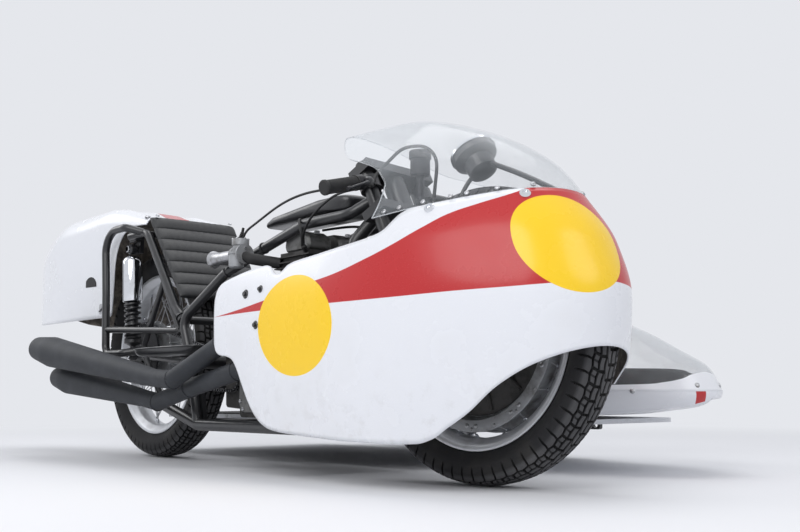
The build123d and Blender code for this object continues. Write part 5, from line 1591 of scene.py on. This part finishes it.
class SIDECAR_OT_mudguard(Build):
    """Sidecar mudguard: a rounded section with rolled edges, turned over the top of the wheel"""
    bl_idname = "sidecar.mudguard"
    bl_label = "Sidecar mudguard"

    def make(self, sizes, colours):
        t = np.linspace(-1, 1, 41)
        wide = 74 * np.sign(t) * (1 - (1 - np.abs(t)) ** 1.35) ** 0.9
        drop = 60 * np.clip((np.abs(t) - 0.55) / 0.45, 0, 1) ** 1.5 + 7 * np.abs(t) ** 4
        profile = np.stack((320 - drop, wide), axis=-1) / 1000
        centre = at(SIDECAR_WHEEL_AT)
        skin = lathe(profile, centre, ACROSS, 72, span=MUDGUARD_SPAN)
        piece("mudguard_skin", skin, [use(plain_white), use(raw_laminate)], "chassis",
              ["sidecar_mudguard"], wall=sizes.skin, flip=True)
        a = np.linspace(0, 2 * pi, 9)
        edge = [lathe(np.stack((0.2535 + 0.0028 * np.cos(a), side * 0.0735 + 0.0028 * np.sin(a)), -1), centre,
                      ACROSS, 72, span=MUDGUARD_SPAN) for side in (-1, 1)]
        rubber("mudguard_beads", edge)
        steel("mudguard_bolts", [hexagon(at((x, 922, 262)), (0, -1, 0), 0.009, 0.006) for x in (-94, 494)])


EDGING = np.array(((-2, -6), (0.6, -6), (1.2, 0), (0.6, 6.9), (-12, 6.9), (-12, 5.9), (-2, 5.9), (-2, -6)))
MAT_RIDGE = np.array(((-4.6, 0), (-3.4, 2.4), (-2, 3.2), (2, 3.2), (3.4, 2.4), (4.6, 0), (-4.6, 0)))
MAT_PLAN = ((-306, 224), (912, 224), (945, 290), (945, 840), (-306, 840))
HANDLES = (  # foot, height over the board, way, length
    ((870, 420), 210, (0, 1), 360), ((60, 820), 150, (1, 0), 260), ((-260, 330), 150, (0, 1), 260))


class SIDECAR_OT_platform(Build):
    """Platform: an edging carried round the board, a ribbed mat on it, screws, and sleeves on the handles"""
    bl_idname = "sidecar.platform"
    bl_label = "Platform"

    def make(self, sizes, colours):
        plan = rounded(FLOOR_PLAN, 10, 4)
        around = np.concatenate((plan, np.full((len(plan), 1), 124.0)), axis=1)
        way = unit(np.gradient(around, axis=0))
        out = np.stack((way[:, 1], -way[:, 0], 0 * way[:, 0]), -1)
        around, out = (part[around[:, 0] < 1000] for part in (around, out))
        edging = around[:, None] + out[:, None] * EDGING[:, :1] + (0, 0, 1) * EDGING[:, 1:]
        steel("platform_edging", at(edging))
        rows, scale = [], np.array((0, 1, 1, 0))[:, None]
        across, high = MAT_RIDGE[:, 0] * scale, FLOOR_TOP + 1.5 + MAT_RIDGE[:, 1] * scale
        for y in range(232, 848, 14):
            front = 905 if y < 820 else 940
            x = np.array((-300, -297, front - 3, front))[:, None]
            rows.append(at(np.stack((np.broadcast_to(x, high.shape), y + across, high), -1)))
        rows.append(at(prism(rounded(MAT_PLAN, 16, 4), FLOOR_TOP, FLOOR_TOP + 1.8, 1, axis="z")))
        piece("platform_mat", rows, use(soft_rubber), "chassis", crease=40)
        steel("platform_screws", [screw(at((x, y, FLOOR_TOP)), (0, 0, 1), 0.007, 0.003)
                                  for x in (-310, -60, 200, 460, 720) for y in (205, 868)])
        sleeves, feet = [], []
        for place, height, way, reach in HANDLES:
            spot, way = np.array((*place, FLOOR_TOP), float), np.array((*way, 0.0))
            t = np.linspace(60, reach - 60, 90)
            radius = 13.4 + 0.8 * (np.sin(t * 0.9) > 0)
            profile = np.stack((np.pad(radius, 1, constant_values=11.2), np.pad(t, 1, "edge")), -1)
            sleeves.append(at(lathe(profile, spot + (0, 0, height), way, 24)))
            for foot in (spot, spot + way * reach):
                feet.append(at(lathe(((0, 5), (24, 5), (26, 3.5), (26, 0)), foot, (0, 0, 1), 32)))
                feet += [hexagon(at(foot + (18 * cos(a), 18 * sin(a), 5)), (0, 0, 1), 0.0045, 0.004)
                         for a in (0.8, 0.8 + 2 * pi / 3, 0.8 + 4 * pi / 3)]
        rubber("handle_sleeves", sleeves)
        piece("handle_feet", feet, use(dark_steel), "chassis")
        dress(use(deck_plate), "sidecar_floor")


FRAME_BOLTS = ((386, 318), (428, 318), (470, 132), (448, 160), (386, 270))
FRAME_WELDS = (  # place, way of the tube, its radius
    ((376, 150, 408), (-42, 0, 38), 15), ((362, 150, 370), (-154, 0, 234), 10),
    ((133, 150, 330), (133, 0, 215), 10), ((707, 100, 579), (1, 0.1, 0.25), 14.5),
    ((560, 125, 525), (1, -0.15, 0.36), 14.5))
HOOP_RUN = ((122, -150, 692), (84, -196, 708), (-44, -201, 706), (-25, -202, 520), (-14, -202, 322),
            (100, -202, 320), (133, -150, 330))
HOOP_BENDS = (0, 30, 66, 60, 30, 24, 0)


class SIDECAR_OT_frame(Build):
    """Frame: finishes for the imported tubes, the passenger's hoop, nuts and weld beads"""
    bl_idname = "sidecar.frame"
    bl_label = "Frame"

    def make(self, sizes, colours):
        hoop = bent_line(HOOP_RUN, HOOP_BENDS, 15)
        brace = np.array(((-22, -202, 397), (362, -150, 378.0)))
        enamel("hoop_tube", [at(pipe(hoop, 12, 22)), at(pipe(brace, 10, 18))], ["passenger_hoop"])
        dress(use(black_enamel), "right_frame", "left_frame", "main_frame", "swingarm",
              "sidecar_frame", "sidecar_axle", "mudguard_stays", "fairing_stays", "grab_handles")
        dress(use(dark_steel), "rear_sprocket")
        nuts = []
        for side in (-1, 1):
            nuts.append(hexagon(at((0, side * 128, 325)), (0, side, 0), 0.015, 0.009))
            nuts.append(hexagon(at((400, side * 150, 290)), (0, side, 0), 0.017, 0.01))
            nuts += [hexagon(at((x, side * 140, z)), (0, side, 0), 0.008, 0.006) for x, z in FRAME_BOLTS]
        nuts.append(hexagon(at((200, 1064, 290)), (0, 1, 0), 0.016, 0.01))
        steel("frame_nuts", nuts)
        beads, a = [], np.linspace(0, 2 * pi, 9)
        for side in (-1, 1):
            for spot, way, radius in FRAME_WELDS:
                spot, way = np.array(spot) * (1, side, 1), unit(np.array(way, float) * (1, side, 1))
                ring = np.stack((radius + 2 * np.cos(a), 2.4 * np.sin(a)), -1)
                beads.append(at(lathe(ring, spot + way * 14, way, 28)))
        enamel("frame_weld_beads", beads)


# ------------------------------------------------------------------ stage
CAMERA_AT = (2.5605, -1.963, 0.195)
CAMERA_TURN = (49.4, -7.08, -0.17)  # azimuth, elevation and roll in degrees
CAMERA_LENS = 46.395
LAMPS = (  # name, place, size, power
    ("key_softbox", (1.9, -3.6, 2.7), 3.2, 82), ("front_softbox", (4.4, 0.6, 2.6), 2.6, 38),
    ("rear_softbox", (-3.4, -2.2, 2.8), 2.6, 44), ("top_softbox", (-0.2, 0.6, 4.4), 3.6, 66),
)
LAMPS_LOOK_AT = Vector((0.1, -0.1, 0.4))
PALE = srgb(229, 231, 236)
SKY_LIGHT = 0.54  # strength of the world as a light
FLOOR_RINGS = (0, 0.5, 1, 2, 3, 5, 8, 14)


class SIDECAR_OT_stage(bpy.types.Operator):
    """Stage: a pale floor disc that fades into a pale world, soft lamps and the camera"""
    bl_idname = "sidecar.stage"
    bl_label = "Stage"

    def execute(self, context):
        scene = context.scene
        scene.view_settings.view_transform = "Standard"
        self.camera(scene)
        self.world(scene)
        for name, place, size, power in LAMPS:
            lamp = bpy.data.lights.new(name, "AREA")
            lamp.shape, lamp.size, lamp.energy = "DISK", size, power
            thing = bpy.data.objects.new(name, lamp)
            thing.location = place
            thing.rotation_euler = (LAMPS_LOOK_AT - Vector(place)).to_track_quat("-Z", "Y").to_euler()
            scene.collection.objects.link(thing)
        self.floor(scene)
        return {"FINISHED"}

    def camera(self, scene):
        """Looks along an azimuth and an elevation, rolled a little about its own line of sight."""
        turn, lift, roll = (radians(v) for v in CAMERA_TURN)
        back = Vector((sin(turn) * cos(lift), -cos(turn) * cos(lift), sin(lift)))
        side = Vector((0, 0, 1)).cross(back).normalized()
        up = back.cross(side)
        across, above = side * cos(roll) + up * sin(roll), up * cos(roll) - side * sin(roll)
        lens = bpy.data.cameras.new("camera")
        lens.lens, lens.sensor_width, lens.clip_end = CAMERA_LENS, 36, 100
        thing = bpy.data.objects.new("camera", lens)
        turned = Matrix((across, above, back)).transposed().to_4x4()
        thing.matrix_world = Matrix.Translation(CAMERA_AT) @ turned
        scene.collection.objects.link(thing)
        scene.camera = thing

    def world(self, scene):
        """One pale colour: brighter to look at than as a source of light."""
        world = bpy.data.worlds.new("pale_world")
        scene.world = world
        f = Shader(world)
        looked_at = f.math("MAXIMUM", f.ray("Camera"), f.ray("Transmission"))
        looked_at = f.math("MAXIMUM", looked_at, f.ray("Glossy"))
        strength = f.node("ShaderNodeMapRange", Value=looked_at, To_Min=SKY_LIGHT, To_Max=1.0)
        f.out(f.node("ShaderNodeBackground", Color=PALE, Strength=strength), "ShaderNodeOutputWorld")

    def floor(self, scene):
        """A disc of rings, lit near the outfit and the world's own colour further out."""
        radius, t = np.array(FLOOR_RINGS, float)[:, None], np.linspace(0, 2 * pi, 97)
        grid = np.stack((radius * np.cos(t), radius * np.sin(t), 0 * radius * t - 0.0005), -1)
        points, quads = grid.reshape(-1, 3), faces_of(*grid.shape[:2], False)
        mesh = bpy.data.meshes.new("floor")
        mesh.from_pydata(points.tolist(), [], quads.tolist())
        f = Finish("floor_paper")
        far = f.node("ShaderNodeVectorMath", {"operation": "LENGTH"}, out="Value", i0=f.here)
        fade = f.step(far, 1.2, 3.8)
        looked_at = f.math("MAXIMUM", f.ray("Camera"), f.ray("Glossy"))
        paper = f.node("ShaderNodeBsdfPrincipled", Base_Color=srgb(232, 233, 237), Roughness=0.7)
        glow = f.node("ShaderNodeEmission", Color=PALE, Strength=1.0)
        f.out(f.node("ShaderNodeMixShader", i0=fade * looked_at, i1=paper, i2=glow))
        mesh.materials.append(f.material)
        thing = bpy.data.objects.new("floor", mesh)
        scene.collection.objects.link(thing)


# ------------------------------------------------------------------ panel and registration
STEPS = (
    SIDECAR_OT_stage, SIDECAR_OT_cables, SIDECAR_OT_fairing, SIDECAR_OT_screen, SIDECAR_OT_tail,
    SIDECAR_OT_wheels, SIDECAR_OT_exhausts, SIDECAR_OT_pad, SIDECAR_OT_trays, SIDECAR_OT_shocks,
    SIDECAR_OT_tank, SIDECAR_OT_carburettors, SIDECAR_OT_engine, SIDECAR_OT_controls, SIDECAR_OT_nose,
    SIDECAR_OT_mudguard, SIDECAR_OT_platform, SIDECAR_OT_frame,
)


class SIDECAR_PT_outfit(bpy.types.Panel):
    """The building steps and the values that they read."""
    bl_idname = "SIDECAR_PT_outfit"
    bl_label = "Racing Sidecar Outfit"
    bl_space_type = "VIEW_3D"
    bl_region_type = "UI"
    bl_category = "Sidecar"

    def draw(self, context):
        for group in (context.scene.sidecar_sizes, context.scene.sidecar_colours):
            box = self.layout.box()
            for name in group.__annotations__:
                box.prop(group, name)
        for step in STEPS:
            self.layout.operator(step.bl_idname)


def register():
    for kind in (SidecarSizes, SidecarColours) + STEPS + (SIDECAR_PT_outfit,):
        bpy.utils.register_class(kind)
    bpy.types.Scene.sidecar_sizes = PointerProperty(type=SidecarSizes)
    bpy.types.Scene.sidecar_colours = PointerProperty(type=SidecarColours)


def unregister():
    del bpy.types.Scene.sidecar_colours
    del bpy.types.Scene.sidecar_sizes
    for kind in (SIDECAR_PT_outfit,) + STEPS[::-1] + (SidecarColours, SidecarSizes):
        bpy.utils.unregister_class(kind)


def main():
    register()
    for step in STEPS:
        name = step.bl_idname.split(".")[1]
        if getattr(bpy.ops.sidecar, name)() != {"FINISHED"}:
            raise RuntimeError(f"{step.bl_label} did not finish")


if __name__ == "__main__":
    main()
